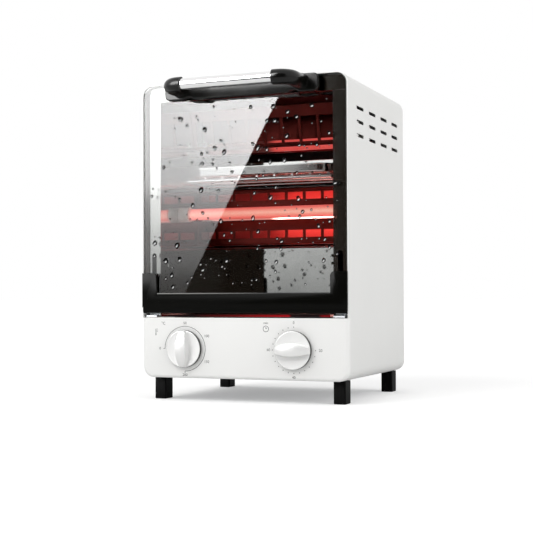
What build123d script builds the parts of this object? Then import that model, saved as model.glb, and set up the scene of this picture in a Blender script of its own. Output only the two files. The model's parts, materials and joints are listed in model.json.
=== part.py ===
"""Bench-top dry heat sterilizer: a white steel cabinet on four feet, a polished chamber
with quartz heating tubes, a bottom-hinged glass door and two control knobs.

Frame: X to the right as the user faces the door, Y towards the back, Z up.
The origin is on the bench, under the middle of the whole machine. Millimetres.
"""

import os
from math import cos, radians, sin

from build123d import *

os.makedirs("parts", exist_ok=True)

# ---------------------------------------------------------------- driving dimensions
# cabinet
body_width = 240.0
body_height = 323.5
body_depth = 211.0
corner_radius = 12.0
sheet = 0.8
foot_height = 24.5
rear_flange = 11.0
bottom_flange = 22.0
back_sheet = 1.0

# side vents
vent_length = 25.0
vent_width = 3.75
vent_pitch_y = 44.0
vent_pitch_z = 14.75
vent_columns = 4
vent_rows = 3
vent_middle_depth = 109.65
vent_middle_drop = 48.1

# control panel
panel_height = 66.0
panel_lip = 6.0
panel_wall = 1.2
panel_edge_radius = 3.6
panel_shelf = 8.0
knob_height = 32.2
temperature_inset = 52.0
timer_inset = 60.6

# door
door_face_play = 0.15
glass_thickness = 4.0
glass_side_gap = 2.0
glass_top_gap = 1.1
glass_corner_radius = 10.0
bar_side_gap = 0.5
bar_height = 22.0
bar_proud = 2.5
bar_back = 6.5
bar_gap = 5.0
ear_width = 18.5
ear_height = 22.0
ear_radius = 4.5
bar_edge_radius = 2.5
bar_back_radius = 3.6
glass_grip = 13.0
pivot_depth = 2.0
pivot_rise = 4.0
pin_radius = 1.5
knuckle_radius = 2.9
run_play = 0.05
door_open_angle = 90.0

# door handle
handle_axis_reach = 39.0
handle_axis_drop = 8.5
handle_tube_radius = 6.25
handle_tube_wall = 0.9
handle_elbow_reach = 17.5
handle_arm_radius = 8.0
handle_arm_inset = 20.0
handle_bend_radius = 14.0
handle_base_width = 180.0
handle_base_height = 19.0
handle_base_thickness = 5.0
handle_base_radius = 6.0
handle_collar_radius = 9.0
handle_collar_height = 2.5
handle_notch_step = 9.0
handle_notch_radius = 8.5
handle_spigot_length = 9.0

# front frame
frame_set_back = 7.0
rail_height = 17.0
stile_width = 18.5
stile_top_play = 0.2
slot_width = 5.5
slot_length = 53.5
slot_rise = 17.5
slot_inset = 7.75
frame_return = 9.0
shell_play = 0.3

# chamber
chamber_side_step = 0.5
chamber_back = 158.0
ceiling_drop = 16.3
rib_height = 3.0
rib_depth = 6.0
rib_front = 16.0
rib_back_gap = 4.0
rib_level_drop = 92.0
ceiling_window_depth = 34.0
ceiling_window_length = 20.0

# heaters: depths are behind the door plane, heights above the cabinet's underside
tube_radius = 6.5
tube_wall = 1.2
tube_end_gap = 4.0
coil_radius = 3.2
cap_radius = 8.5
cap_inside_length = 12.0
cap_neck_radius = 5.2
cap_outer_radius = 7.0
cap_outside_length = 5.0
terminal_radius = 1.2
terminal_reach = 4.0
upper_tube_depth = 108.0
upper_tube_drop = 43.4
middle_rear_tube_height = 184.0
middle_front_tube_depth = 58.0
middle_front_tube_height = 183.0
lower_tube_depth = 76.0
lower_tube_height = 79.0
window_side_room = 3.0
window_count = 9
window_bar = 3.5

# heater guards and the heat shield
guard_play = 0.3
upper_guard_depth = 96.0
upper_guard_height = 45.2
upper_guard_lean = 15.0
upper_window_rise = 4.0
upper_window_height = 29.0
upper_rail_radius = 1.3
reflector_gap = 1.5
reflector_height = 50.7
middle_guard_depth = 104.0
middle_guard_thickness = 30.0
middle_guard_bottom = 150.0
middle_guard_height = 62.8
middle_guard_edge_radius = 1.1
row_rise = 11.2
row_drop = 7.8
row_height = 8.5
slit_rise = 35.0
slit_height = 14.0
slit_end_room = 5.0
lip_depth = 3.0
lower_lip_rise = 27.2
upper_lip_rise = 42.0
shield_side_gap = 10.0
shield_bottom = 84.0
shield_top_drop = 11.2
shield_depth = 26.0
shield_spacer_inset = 32.0
shield_spacer_rise = 26.0
shield_spacer_drop = 46.0
shield_spacer_radius = 4.5
board_play = 0.3
board_corner = 4.0

# rack and trays
rack_level = 219.5
rack_front = 42.0
rack_back_gap = 8.0
rack_side_gap = 5.0
rack_corner = 8.0
rack_frame_radius = 2.0
rack_wire_radius = 1.25
rack_wire_edge = 13.0
rack_wire_count = 9
rack_support_radius = 1.5
weld_depth = 0.3
tray_side_room = 11.0
tray_end_room = 3.0
tray_height = 10.3
tray_sheet = 0.9
tray_corner = 16.0
tray_rim = 3.0
seat_gap = 0.2
crumb_side_gap = 3.0
crumb_front = 4.0
crumb_back_gap = 4.0
crumb_height = 2.5
crumb_sheet = 0.6

# hinge arms and springs
arm_thickness = 2.0
arm_flange_thickness = 1.3
arm_flange_width = 12.0
arm_tail_angle = 105.0
arm_tail_outer = 57.0
arm_tail_inner = 45.0
arm_root_low = 9.5
arm_root_high = 36.5
stud_radius = 1.5
spring_step = 5.25
spring_radius = 3.0
spring_wire = 0.6
spring_anchor_depth = 118.0
spring_anchor_height = 30.0

# knobs and control units
knob_radius = 20.5
knob_skirt = 4.0
knob_dome = 8.5
knob_gap = 1.0
ridge_half_width = 7.0
ridge_end_half_width = 3.6
shaft_radius = 3.0
shaft_hole_radius = 5.0
control_plate = 1.5
control_neck_radius = 7.0
control_screw_reach = 6.0
thermostat_front = 12.0
thermostat_thickness = 14.0
thermostat_switch_gap = 3.0
thermostat_switch_thickness = 2.0
thermostat_half_width = 16.0
thermostat_half_height = 11.0
thermostat_tag_reach = 10.0
thermostat_plate_half_width = 8.0
thermostat_plate_half_height = 16.0
timer_front = 8.0
timer_radius = 24.0
timer_depth = 30.0
timer_plate_half_width = 9.0
timer_plate_half_height = 19.0
bell_radius = 17.0
bell_depth = 9.0
bell_post_radius = 2.5

# feet and fasteners
foot_width = 13.5
foot_length = 18.0
foot_inset = 14.75
foot_front = 22.5
foot_rear_gap = 15.0
foot_screw_step = 1.75
foot_screw_lift = 8.0
screw_radius = 1.75
screw_head_radius = 3.5
screw_head_height = 2.2
screw_hole_radius = 1.95

back_screw_margin = 20.0
back_screw_rows = 4

# cord gland
gland_inset = 58.0
gland_height = 34.0
gland_bore_radius = 3.6
gland_neck_radius = 6.5
gland_flange_radius = 10.0
gland_reach = 8.0

# electrical parts and wiring
block_rear_gap = 25.0
block_half_length = 21.0
block_half_width = 8.0
block_height = 14.0
cutout_depth = 112.0
lead_radius = 1.1
lead_height = 9.0
lead_rise = 5.0
lead_bend = 9.0
lead_depths = (140.0, 120.0, 96.0, 80.0, 60.0, 58.0)

# ---------------------------------------------------------------- worked-out places
handle_reach = handle_axis_reach + handle_arm_radius
overall_depth = handle_reach + body_depth + back_sheet + gland_reach
front_y = handle_reach - overall_depth / 2
base_z = foot_height
body_top = base_z + body_height
body_mid_z = base_z + body_height / 2
panel_top = base_z + panel_height
floor_top = panel_top + sheet
bar_bottom = panel_top + bar_gap
bar_top = bar_bottom + bar_height
ear_top = bar_top + ear_height
pivot_y = front_y + pivot_depth
pivot_z = bar_bottom + pivot_rise
frame_y = front_y + frame_set_back
chamber_top = body_height - ceiling_drop
ceiling_z = base_z + chamber_top
back_y = front_y + chamber_back
glass_bottom = bar_top - glass_grip
glass_top = body_top - glass_top_gap
handle_y = front_y - handle_axis_reach
handle_arm_x = handle_base_width / 2 - handle_arm_inset
handle_notch_x = handle_arm_x - handle_notch_step
handle_tube_length = 2 * (handle_arm_x - handle_elbow_reach)
handle_z = body_top - handle_axis_drop
rack_z = base_z + rack_level
inner_half_width = body_width / 2 - sheet - shell_play
bottom_opening = body_width - 2 * bottom_flange
bar_width = body_width - 2 * bar_side_gap
glass_width = body_width - 2 * glass_side_gap
stile_inner_x = body_width / 2 - stile_width
slot_x = stile_inner_x + slot_inset
slot_bottom = panel_height + slot_rise
slot_top = slot_bottom + slot_length
spring_x = slot_x + spring_step
chamber_half_width = stile_inner_x + chamber_side_step
wall_outer_x = chamber_half_width + sheet
guard_half_width = chamber_half_width - guard_play
tube_half_length = chamber_half_width - tube_end_gap
cap_inner_x = chamber_half_width - cap_inside_length
cap_outer_x = chamber_half_width + cap_outside_length
terminal_x = cap_outer_x + terminal_reach
window_pitch = 2 * (chamber_half_width - window_side_room) / window_count
rib_length = chamber_back - rib_back_gap - rib_front
rack_half_width = chamber_half_width - rack_side_gap
rack_length = chamber_back - rack_back_gap - rack_front
rack_wire_pitch = 2 * (rack_half_width - rack_wire_edge) / (rack_wire_count - 1)
tray_width = 2 * (rack_half_width - tray_side_room)
tray_length = rack_length - 2 * tray_end_room
crumb_half_width = chamber_half_width - crumb_side_gap
crumb_length = chamber_back - crumb_back_gap - crumb_front
shield_half_width = chamber_half_width - shield_side_gap
vent_middle_height = body_height - vent_middle_drop
temperature_x = temperature_inset - body_width / 2
timer_x = body_width / 2 - timer_inset
foot_x = body_width / 2 - foot_inset
foot_screw_x = foot_x - foot_screw_step
foot_rear = body_depth - foot_rear_gap
gland_x = body_width / 2 - gland_inset
reflector_depth = upper_tube_depth + cap_radius + reflector_gap
heaters = {
    "upper": (upper_tube_depth, chamber_top - upper_tube_drop),
    "middle_rear": (middle_guard_depth + middle_guard_thickness / 2, middle_rear_tube_height),
    "middle_front": (middle_front_tube_depth, middle_front_tube_height),
    "lower": (lower_tube_depth, lower_tube_height),
}
sides = {"left": -1, "right": 1}


def at(depth):
    """Y of a place this far behind the door plane."""
    return front_y + depth


def up(height):
    """Z of a place this far above the cabinet's underside."""
    return base_z + height


def facing(y):
    """Upright plane at y that faces the user: local x is X, local y is Z."""
    return Plane(origin=(0, y, 0), x_dir=(1, 0, 0), z_dir=(0, -1, 0))


def sideways(x):
    """Upright plane at x that faces +X: local x is Y, local y is Z."""
    return Plane.YZ.offset(x)


def level(z):
    """Flat plane at height z."""
    return Plane.XY.offset(z)


def keep(builder, name):
    """Label the finished piece and write it to its own file."""
    builder.part.label = name
    export_step(builder.part, f"parts/{name}.step")


def box_between(x0, x1, y0, y1, z0, z1, mode=Mode.ADD):
    """Plain block given by its faces."""
    with Locations(((x0 + x1) / 2, (y0 + y1) / 2, (z0 + z1) / 2)):
        Box(abs(x1 - x0), abs(y1 - y0), abs(z1 - z0), mode=mode)


def rod_x(x0, x1, y, z, radius, mode=Mode.ADD):
    """Round bar along X."""
    with Locations(((x0 + x1) / 2, y, z)):
        Cylinder(radius, abs(x1 - x0), rotation=(0, 90, 0), mode=mode)


def rod_y(x, z, y0, y1, radius, mode=Mode.ADD):
    """Round bar along Y."""
    with Locations((x, (y0 + y1) / 2, z)):
        Cylinder(radius, abs(y1 - y0), rotation=(90, 0, 0), mode=mode)


# ---------------------------------------------------------------- cabinet
back_screw_places = [
    (side * (body_width / 2 - rear_flange / 2 - sheet), up(height))
    for side in sides.values()
    for height in [back_screw_margin + row * (body_height - 2 * back_screw_margin) / (back_screw_rows - 1)
                   for row in range(back_screw_rows)]
]
spacer_places = [
    (side * (shield_half_width - shield_spacer_inset), up(height))
    for side in sides.values()
    for height in (shield_bottom + shield_spacer_rise, chamber_top - shield_top_drop - shield_spacer_drop)
]
feet = {
    f"foot_{depth_name}_{side_name}": (side * foot_x, at(depth), side * foot_screw_x)
    for depth_name, depth in (("front", foot_front), ("rear", foot_rear))
    for side_name, side in sides.items()
}

with BuildPart() as outer_shell:
    with BuildSketch(facing(front_y)):
        with Locations((0, body_mid_z)):
            RectangleRounded(body_width, body_height, corner_radius)
            RectangleRounded(body_width - 2 * sheet, body_height - 2 * sheet,
                             corner_radius - sheet, mode=Mode.SUBTRACT)
        with Locations((0, base_z)):
            Rectangle(bottom_opening, 4 * sheet, mode=Mode.SUBTRACT)
    extrude(amount=-body_depth)
    with BuildSketch(facing(at(body_depth))):
        with Locations((0, body_mid_z)):
            RectangleRounded(body_width, body_height, corner_radius)
            RectangleRounded(body_width - 2 * (sheet + rear_flange), body_height - 2 * (sheet + rear_flange),
                             corner_radius / 2, mode=Mode.SUBTRACT)
    extrude(amount=sheet)
    box_between(-body_width, body_width, front_y - 1, at(panel_lip), base_z - 1, panel_top, mode=Mode.SUBTRACT)
    with BuildSketch(sideways(body_width / 2)):
        with Locations((at(vent_middle_depth), up(vent_middle_height))):
            with GridLocations(vent_pitch_y, vent_pitch_z, vent_columns, vent_rows):
                SlotOverall(vent_length, vent_width)
    extrude(amount=-body_width, mode=Mode.SUBTRACT)
    for x, z in back_screw_places:
        rod_y(x, z, at(body_depth) - 2 * sheet, at(body_depth), screw_hole_radius, mode=Mode.SUBTRACT)
    with BuildSketch(level(base_z)):
        with Locations(*[(screw_x, y) for _, y, screw_x in feet.values()]):
            Circle(screw_hole_radius)
    extrude(amount=sheet, mode=Mode.SUBTRACT)
keep(outer_shell, "outer_shell")

base_half_width = body_width / 2 - corner_radius - 0.5
base_front = at(panel_lip) + 0.5
base_back = at(body_depth) - sheet - 0.5
base_low = base_z + sheet
base_high = base_low + sheet
anchor_y = at(spring_anchor_depth)
anchor_z = up(spring_anchor_height)
with BuildPart() as base_plate:
    box_between(-base_half_width, base_half_width, base_front, base_back, base_low, base_high)
    with BuildSketch(level(base_low)):
        with Locations((0, (base_front + base_back) / 2)):
            with GridLocations(30, 60, 5, 3):
                SlotOverall(22, 4)
        with Locations(*[(screw_x, y) for _, y, screw_x in feet.values()]):
            Circle(screw_hole_radius)
    extrude(amount=sheet, mode=Mode.SUBTRACT)
    for side in sides.values():
        tab_out = side * base_half_width
        tab_in = side * (base_half_width - sheet)
        box_between(tab_in, tab_out, anchor_y - 7, anchor_y + 7, base_high, anchor_z + 6)
        rod_x(tab_out, side * (spring_x + spring_radius), anchor_y, anchor_z, stud_radius)
keep(base_plate, "base_plate")

for name, (x, y, screw_x) in feet.items():
    with BuildPart() as foot:
        with BuildSketch(level(0)):
            with Locations((x, y)):
                RectangleRounded(foot_width, foot_length, 1.5)
        extrude(amount=foot_height)
        with BuildSketch(level(0)):
            with Locations((screw_x, y)):
                Circle(screw_head_radius + 0.5)
        extrude(amount=foot_height - foot_screw_lift, mode=Mode.SUBTRACT)
        with BuildSketch(level(0)):
            with Locations((screw_x, y)):
                Circle(screw_hole_radius)
        extrude(amount=foot_height, mode=Mode.SUBTRACT)
        chamfer(foot.faces().sort_by(Axis.Z)[0].outer_wire().edges(), 0.6)
    keep(foot, name)

with BuildPart() as base_screws:
    for _, y, screw_x in feet.values():
        with BuildSketch(level(foot_height - foot_screw_lift - screw_head_height)):
            with Locations((screw_x, y)):
                Circle(screw_head_radius)
        extrude(amount=screw_head_height)
        with BuildSketch(level(foot_height - foot_screw_lift)):
            with Locations((screw_x, y)):
                Circle(screw_radius)
        extrude(amount=base_high + 4.5 - (foot_height - foot_screw_lift))
        with BuildSketch(level(base_high)):
            with Locations((screw_x, y)):
                RegularPolygon(screw_head_radius, 6)
        extrude(amount=3)
keep(base_screws, "base_screws")

with BuildPart() as back_panel:
    with BuildSketch(facing(at(body_depth))):
        with Locations((0, body_mid_z)):
            RectangleRounded(body_width, body_height, corner_radius)
        with Locations((0, up(vent_middle_height))):
            with GridLocations(vent_pitch_y, vent_pitch_z, vent_columns, vent_rows):
                SlotOverall(vent_length, vent_width, mode=Mode.SUBTRACT)
        with Locations((gland_x, up(gland_height))):
            Circle(gland_neck_radius + 0.1, mode=Mode.SUBTRACT)
        with Locations(*back_screw_places):
            Circle(screw_hole_radius, mode=Mode.SUBTRACT)
        with Locations(*spacer_places):
            Circle(screw_hole_radius, mode=Mode.SUBTRACT)
    extrude(amount=-back_sheet)
keep(back_panel, "back_panel")

back_face = at(body_depth + back_sheet)
with BuildPart() as back_screws:
    for x, z in back_screw_places + spacer_places:
        rod_y(x, z, back_face, back_face + screw_head_height, screw_head_radius)
        rod_y(x, z, back_face - 6, back_face, screw_radius)
    fillet(back_screws.faces().filter_by(Axis.Y).sort_by(Axis.Y)[-12:].edges(), 0.9)
keep(back_screws, "back_screws")

with BuildPart() as cord_gland:
    rod_y(gland_x, up(gland_height), back_face, back_face + 3, gland_flange_radius)
    rod_y(gland_x, up(gland_height), back_face + 3, back_face + gland_reach, gland_neck_radius)
    rod_y(gland_x, up(gland_height), back_face - 10, back_face, gland_neck_radius)
    rod_y(gland_x, up(gland_height), back_face - 10, back_face - 3, gland_neck_radius + 1.5)
    rod_y(gland_x, up(gland_height), back_face - 12, back_face + 12, gland_bore_radius, mode=Mode.SUBTRACT)
keep(cord_gland, "cord_gland")

# ---------------------------------------------------------------- control panel and units
thermostat_screw_rise = 11.0
timer_screw_rise = 14.0
knob_z = up(knob_height)
control_screw_places = [
    (temperature_x, knob_z + thermostat_screw_rise),
    (temperature_x, knob_z - thermostat_screw_rise),
    (timer_x, knob_z + timer_screw_rise),
    (timer_x, knob_z - timer_screw_rise),
]

with BuildPart() as control_panel:
    with BuildSketch(facing(front_y)) as panel_outline:
        with Locations((0, base_z + corner_radius)):
            Rectangle(body_width, panel_height - corner_radius, align=(Align.CENTER, Align.MIN))
        with Locations((0, base_z)):
            Rectangle(body_width - 2 * corner_radius, corner_radius, align=(Align.CENTER, Align.MIN))
        for side in sides.values():
            with Locations((side * (body_width / 2 - corner_radius), base_z + corner_radius)):
                Circle(corner_radius)
    extrude(amount=-panel_lip)
    front_edges = control_panel.faces().sort_by(Axis.Y)[0].edges()
    fillet(front_edges.sort_by(Axis.Z)[:-1], panel_edge_radius)
    offset(amount=-panel_wall, openings=control_panel.faces().sort_by(Axis.Y)[-1])
    box_between(-inner_half_width, inner_half_width, at(panel_lip) - 0.5, at(panel_lip + panel_shelf),
                panel_top - panel_wall, panel_top)
    for x in (temperature_x, timer_x):
        rod_y(x, knob_z, front_y, at(panel_lip / 2), shaft_hole_radius, mode=Mode.SUBTRACT)
    for x, z in control_screw_places:
        rod_y(x, z, front_y, at(panel_lip / 2), screw_hole_radius, mode=Mode.SUBTRACT)
keep(control_panel, "control_panel")

with BuildPart() as control_screws:
    for x, z in control_screw_places:
        rod_y(x, z, front_y - 1.5, front_y, screw_head_radius - 0.7)
        rod_y(x, z, front_y, at(control_screw_reach), screw_radius)
keep(control_screws, "control_screws")

thermostat_back = thermostat_front + thermostat_thickness
switch_front = thermostat_back + thermostat_switch_gap
with BuildPart() as thermostat:
    box_between(temperature_x - thermostat_plate_half_width, temperature_x + thermostat_plate_half_width, at(panel_wall),
                at(panel_wall + control_plate), knob_z - thermostat_plate_half_height, knob_z + thermostat_plate_half_height)
    rod_y(temperature_x, knob_z, at(panel_wall + control_plate), at(thermostat_front), control_neck_radius)
    for front, back in ((thermostat_front, thermostat_back), (switch_front, switch_front + thermostat_switch_thickness)):
        box_between(temperature_x - thermostat_half_width, temperature_x + thermostat_half_width, at(front), at(back),
                    knob_z - thermostat_half_height, knob_z + thermostat_half_height)
    for side in sides.values():
        rod_y(temperature_x + side * (thermostat_half_width - 4), knob_z, at(thermostat_back),
              at(thermostat_back + thermostat_tag_reach), 2.5)
    fillet(thermostat.edges().filter_by(Axis.Y).group_by(SortBy.LENGTH)[-1], 1.5)
    rod_y(temperature_x, knob_z, front_y, at(thermostat_back - 4), shaft_radius + run_play, mode=Mode.SUBTRACT)
    for x, z in control_screw_places[:2]:
        rod_y(x, z, front_y, at(control_screw_reach + 1), screw_hole_radius, mode=Mode.SUBTRACT)
keep(thermostat, "thermostat")

timer_back = timer_front + timer_depth
with BuildPart() as timer:
    box_between(timer_x - timer_plate_half_width, timer_x + timer_plate_half_width, at(panel_wall),
                at(panel_wall + control_plate), knob_z - timer_plate_half_height, knob_z + timer_plate_half_height)
    rod_y(timer_x, knob_z, at(panel_wall + control_plate), at(timer_front), control_neck_radius)
    rod_y(timer_x, knob_z, at(timer_front), at(timer_back), timer_radius)
    box_between(timer_x - timer_radius - 3, timer_x - timer_radius + 4, at(timer_front + 4), at(timer_back - 6),
                knob_z - 8, knob_z + 8)
    rod_y(timer_x, knob_z, at(timer_back), at(timer_back + bell_depth - 2), bell_post_radius)
    rod_y(timer_x, knob_z, front_y, at(timer_front + 16), shaft_radius + run_play, mode=Mode.SUBTRACT)
    for x, z in control_screw_places[2:]:
        rod_y(x, z, front_y, at(control_screw_reach + 1), screw_hole_radius, mode=Mode.SUBTRACT)
keep(timer, "timer")

bell_back = at(timer_back + bell_depth)
with BuildPart() as timer_bell:
    with BuildSketch(sideways(timer_x)):
        with BuildLine():
            l1 = Line((bell_back, knob_z), (bell_back, knob_z + bell_radius - 6))
            l2 = ThreePointArc(l1 @ 1, (bell_back - 1.76, knob_z + bell_radius - 1.76), (bell_back - 6, knob_z + bell_radius))
            l3 = Line(l2 @ 1, (bell_back - 6, knob_z + bell_radius - 1))
            l4 = ThreePointArc(l3 @ 1, (bell_back - 2.4, knob_z + bell_radius - 2.4), (bell_back - 1, knob_z + bell_radius - 6))
            l5 = Line(l4 @ 1, (bell_back - 1, knob_z))
            Line(l5 @ 1, l1 @ 0)
        make_face()
    revolve(axis=Axis((timer_x, 0, knob_z), (0, 1, 0)))
    rod_y(timer_x, knob_z, bell_back - 3, bell_back + 1, bell_post_radius, mode=Mode.SUBTRACT)
    rod_y(timer_x, knob_z, bell_back - 2, bell_back + 1, 4)
keep(timer_bell, "timer_bell")


def knob(x, turn):
    """Round knob with a domed grip across it; turn is the grip's angle from upright."""
    face_y = front_y - knob_gap - knob_skirt
    top_y = face_y - knob_dome
    turned = Plane(origin=(x, face_y + 1, knob_z), x_dir=(cos(radians(turn)), 0, -sin(radians(turn))),
                   z_dir=(0, -1, 0))
    with BuildPart() as piece:
        with BuildSketch(turned):
            with BuildLine():
                a1 = ThreePointArc((-ridge_end_half_width, knob_radius), (-ridge_half_width, 0),
                                   (-ridge_end_half_width, -knob_radius))
                b1 = Line(a1 @ 1, (ridge_end_half_width, -knob_radius))
                c1 = ThreePointArc(b1 @ 1, (ridge_half_width, 0), (ridge_end_half_width, knob_radius))
                Line(c1 @ 1, a1 @ 0)
            make_face()
        extrude(amount=knob_dome + 1)
        with BuildSketch(sideways(x)):
            with BuildLine():
                d1 = Line((face_y + 1, knob_z), (face_y + 1, knob_z + knob_radius - 0.2))
                d2 = Line(d1 @ 1, (face_y - 0.6, knob_z + knob_radius - 0.2))
                d3 = ThreePointArc(d2 @ 1, (top_y + 2.1, knob_z + knob_radius * 0.55), (top_y, knob_z))
                Line(d3 @ 1, d1 @ 0)
            make_face()
        revolve(axis=Axis((x, 0, knob_z), (0, 1, 0)), mode=Mode.INTERSECT)
        rod_y(x, knob_z, face_y, front_y - knob_gap, knob_radius)
        rod_y(x, knob_z, front_y - knob_gap - 2, front_y - knob_gap, knob_radius - 3, mode=Mode.SUBTRACT)
        rod_y(x, knob_z, face_y - 3, front_y - knob_gap, 6)
        rod_y(x, knob_z, face_y - 3, front_y, shaft_radius + run_play, mode=Mode.SUBTRACT)
    return piece


def shaft(x, back):
    """Control spindle with a flat where the knob grips it."""
    tip_y = front_y - knob_gap - knob_skirt - 3 + 0.2
    with BuildPart() as piece:
        rod_y(x, knob_z, tip_y, back, shaft_radius)
        box_between(x + shaft_radius - 1, x + shaft_radius + 1, tip_y, front_y - knob_gap - 0.5,
                    knob_z - 4, knob_z + 4, mode=Mode.SUBTRACT)
    return piece


temperature_knob = knob(temperature_x, 0)
keep(temperature_knob, "temperature_knob")
timer_knob = knob(timer_x, 90)
keep(timer_knob, "timer_knob")
thermostat_shaft = shaft(temperature_x, at(thermostat_back - 5))
keep(thermostat_shaft, "thermostat_shaft")
timer_shaft = shaft(timer_x, at(timer_front + 15))
keep(timer_shaft, "timer_shaft")

# ---------------------------------------------------------------- front frame
rail_bottom = body_top - sheet - rail_height
with BuildPart() as top_rail:
    with BuildSketch(facing(frame_y)):
        with Locations((0, body_mid_z)):
            RectangleRounded(2 * inner_half_width, body_height - 2 * (sheet + shell_play), corner_radius - sheet)
        with Locations((0, rail_bottom)):
            Rectangle(body_width, rail_height * 2, align=(Align.CENTER, Align.MIN), mode=Mode.INTERSECT)
    extrude(amount=-sheet)
    box_between(-stile_inner_x, stile_inner_x, frame_y, frame_y + frame_return, rail_bottom, rail_bottom + sheet)
    box_between(-stile_inner_x, stile_inner_x, frame_y, frame_y + 1.5 * frame_return,
                body_top - shell_play - 2 * sheet, body_top - shell_play - sheet)
keep(top_rail, "top_rail")


def stile(side):
    """Upright beside the door opening, with the tall slot that the hinge arm passes."""
    low = floor_top
    high = rail_bottom - stile_top_play
    with BuildPart() as piece:
        box_between(side * stile_inner_x, side * inner_half_width, frame_y, frame_y + sheet, low, high)
        box_between(side * (inner_half_width - sheet), side * inner_half_width, frame_y,
                    frame_y + frame_return, ear_top, high)
        box_between(side * (wall_outer_x + sheet + 0.2), side * (wall_outer_x + 0.2), frame_y,
                    frame_y + frame_return, ear_top, high)
        with BuildSketch(facing(frame_y)):
            with Locations((side * slot_x, up((slot_top + slot_bottom) / 2))):
                SlotOverall(slot_top - slot_bottom, slot_width, rotation=90)
        extrude(amount=-sheet, mode=Mode.SUBTRACT)
        box_between(side * (stile_inner_x + 1), side * body_width, frame_y, frame_y + sheet,
                    low, pivot_z + knuckle_radius + 1.6, mode=Mode.SUBTRACT)
    return piece


for side_name, side in sides.items():
    keep(stile(side), f"{side_name}_stile")

# ---------------------------------------------------------------- chamber
heater_places = [(at(depth), up(height)) for depth, height in heaters.values()]


def chamber_wall(side):
    """Polished side sheet with pressed ribs for the rack and a hole for each tube end."""
    inner = side * chamber_half_width
    outer = side * wall_outer_x
    rib_in = side * (chamber_half_width - rib_depth)
    low_rib = rack_z - rack_frame_radius - seat_gap - rib_height
    high_rib = rack_z + rack_frame_radius + 1
    with BuildPart() as piece:
        box_between(inner, outer, frame_y + sheet + 0.2, back_y + sheet, floor_top, ceiling_z)
        for z in (low_rib, high_rib, low_rib - rib_level_drop, high_rib - rib_level_drop):
            box_between(rib_in, outer, at(rib_front), at(rib_front + rib_length), z, z + rib_height)
            box_between(rib_in + side * sheet, outer, at(rib_front) + sheet, at(rib_front + rib_length) - sheet,
                        z + sheet, z + rib_height - sheet, mode=Mode.SUBTRACT)
        for y, z in heater_places:
            rod_x(inner, outer, y, z, cap_neck_radius + 0.2, mode=Mode.SUBTRACT)
    return piece


for side_name, side in sides.items():
    keep(chamber_wall(side), f"chamber_{side_name}_wall")

with BuildPart() as chamber_ceiling:
    box_between(-wall_outer_x, wall_outer_x, frame_y + frame_return / 2, back_y + sheet, ceiling_z, ceiling_z + sheet)
    with BuildSketch(level(ceiling_z)):
        with Locations((0, at(ceiling_window_depth))):
            with GridLocations(window_pitch, 1, window_count, 1):
                Rectangle(window_pitch - window_bar, ceiling_window_length)
    extrude(amount=sheet, mode=Mode.SUBTRACT)
keep(chamber_ceiling, "chamber_ceiling")

with BuildPart() as chamber_floor:
    box_between(-wall_outer_x, wall_outer_x, at(3), back_y + sheet, panel_top, floor_top)
    box_between(-inner_half_width + 1, inner_half_width - 1, at(3), at(20), panel_top, floor_top)
keep(chamber_floor, "chamber_floor")

with BuildPart() as chamber_back:
    box_between(-chamber_half_width, chamber_half_width, back_y, back_y + sheet, floor_top, ceiling_z)
keep(chamber_back, "chamber_back")

shield_low = up(shield_bottom)
shield_high = ceiling_z - shield_top_drop
shield_back = back_y + sheet + shield_depth
with BuildPart() as rear_heat_shield:
    box_between(-shield_half_width, shield_half_width, back_y + sheet, shield_back, shield_low, shield_high)
    box_between(-shield_half_width + sheet, shield_half_width - sheet, back_y + sheet, shield_back - sheet,
                shield_low + sheet, shield_high - sheet, mode=Mode.SUBTRACT)
    for x, z in spacer_places:
        rod_y(x, z, shield_back, at(body_depth), shield_spacer_radius)
        rod_y(x, z, at(body_depth) - 8, at(body_depth), screw_radius + 0.1, mode=Mode.SUBTRACT)
keep(rear_heat_shield, "rear_heat_shield")

with BuildPart() as insulation_board:
    box_between(-shield_half_width + 2 * sheet, shield_half_width - 2 * sheet, back_y + sheet + board_play,
                shield_back - sheet - board_play, shield_low + 2 * sheet, shield_high - 2 * sheet)
    fillet(insulation_board.edges().filter_by(Axis.Y), board_corner)
keep(insulation_board, "insulation_board")

# ---------------------------------------------------------------- heater guards
upper_guard_low = ceiling_z - upper_guard_height
upper_guard_high = ceiling_z - guard_play
upper_guard_run = (upper_guard_high - upper_guard_low) / cos(radians(upper_guard_lean))
upper_guard_top_y = at(upper_guard_depth) - upper_guard_run * sin(radians(upper_guard_lean))
leaning = Plane(origin=(0, at(upper_guard_depth), upper_guard_low), x_dir=(1, 0, 0),
                z_dir=(0, -cos(radians(upper_guard_lean)), -sin(radians(upper_guard_lean))))
with BuildPart() as upper_heater_guard:
    with BuildSketch(leaning):
        Rectangle(2 * guard_half_width, upper_guard_run - sheet / 2, align=(Align.CENTER, Align.MIN))
        with Locations((0, upper_window_rise)):
            with GridLocations(window_pitch, 1, window_count, 1):
                Rectangle(window_pitch - window_bar, upper_window_height, align=(Align.CENTER, Align.MIN),
                          mode=Mode.SUBTRACT)
    extrude(amount=-sheet)
    rod_x(-guard_half_width, guard_half_width, at(upper_guard_depth) + sheet / 2, upper_guard_low, upper_rail_radius)
    box_between(-guard_half_width, guard_half_width, upper_guard_top_y, at(reflector_depth),
                upper_guard_high - sheet, upper_guard_high)
    box_between(-guard_half_width, guard_half_width, at(reflector_depth) - sheet, at(reflector_depth),
                ceiling_z - reflector_height, upper_guard_high)
keep(upper_heater_guard, "upper_heater_guard")

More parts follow.
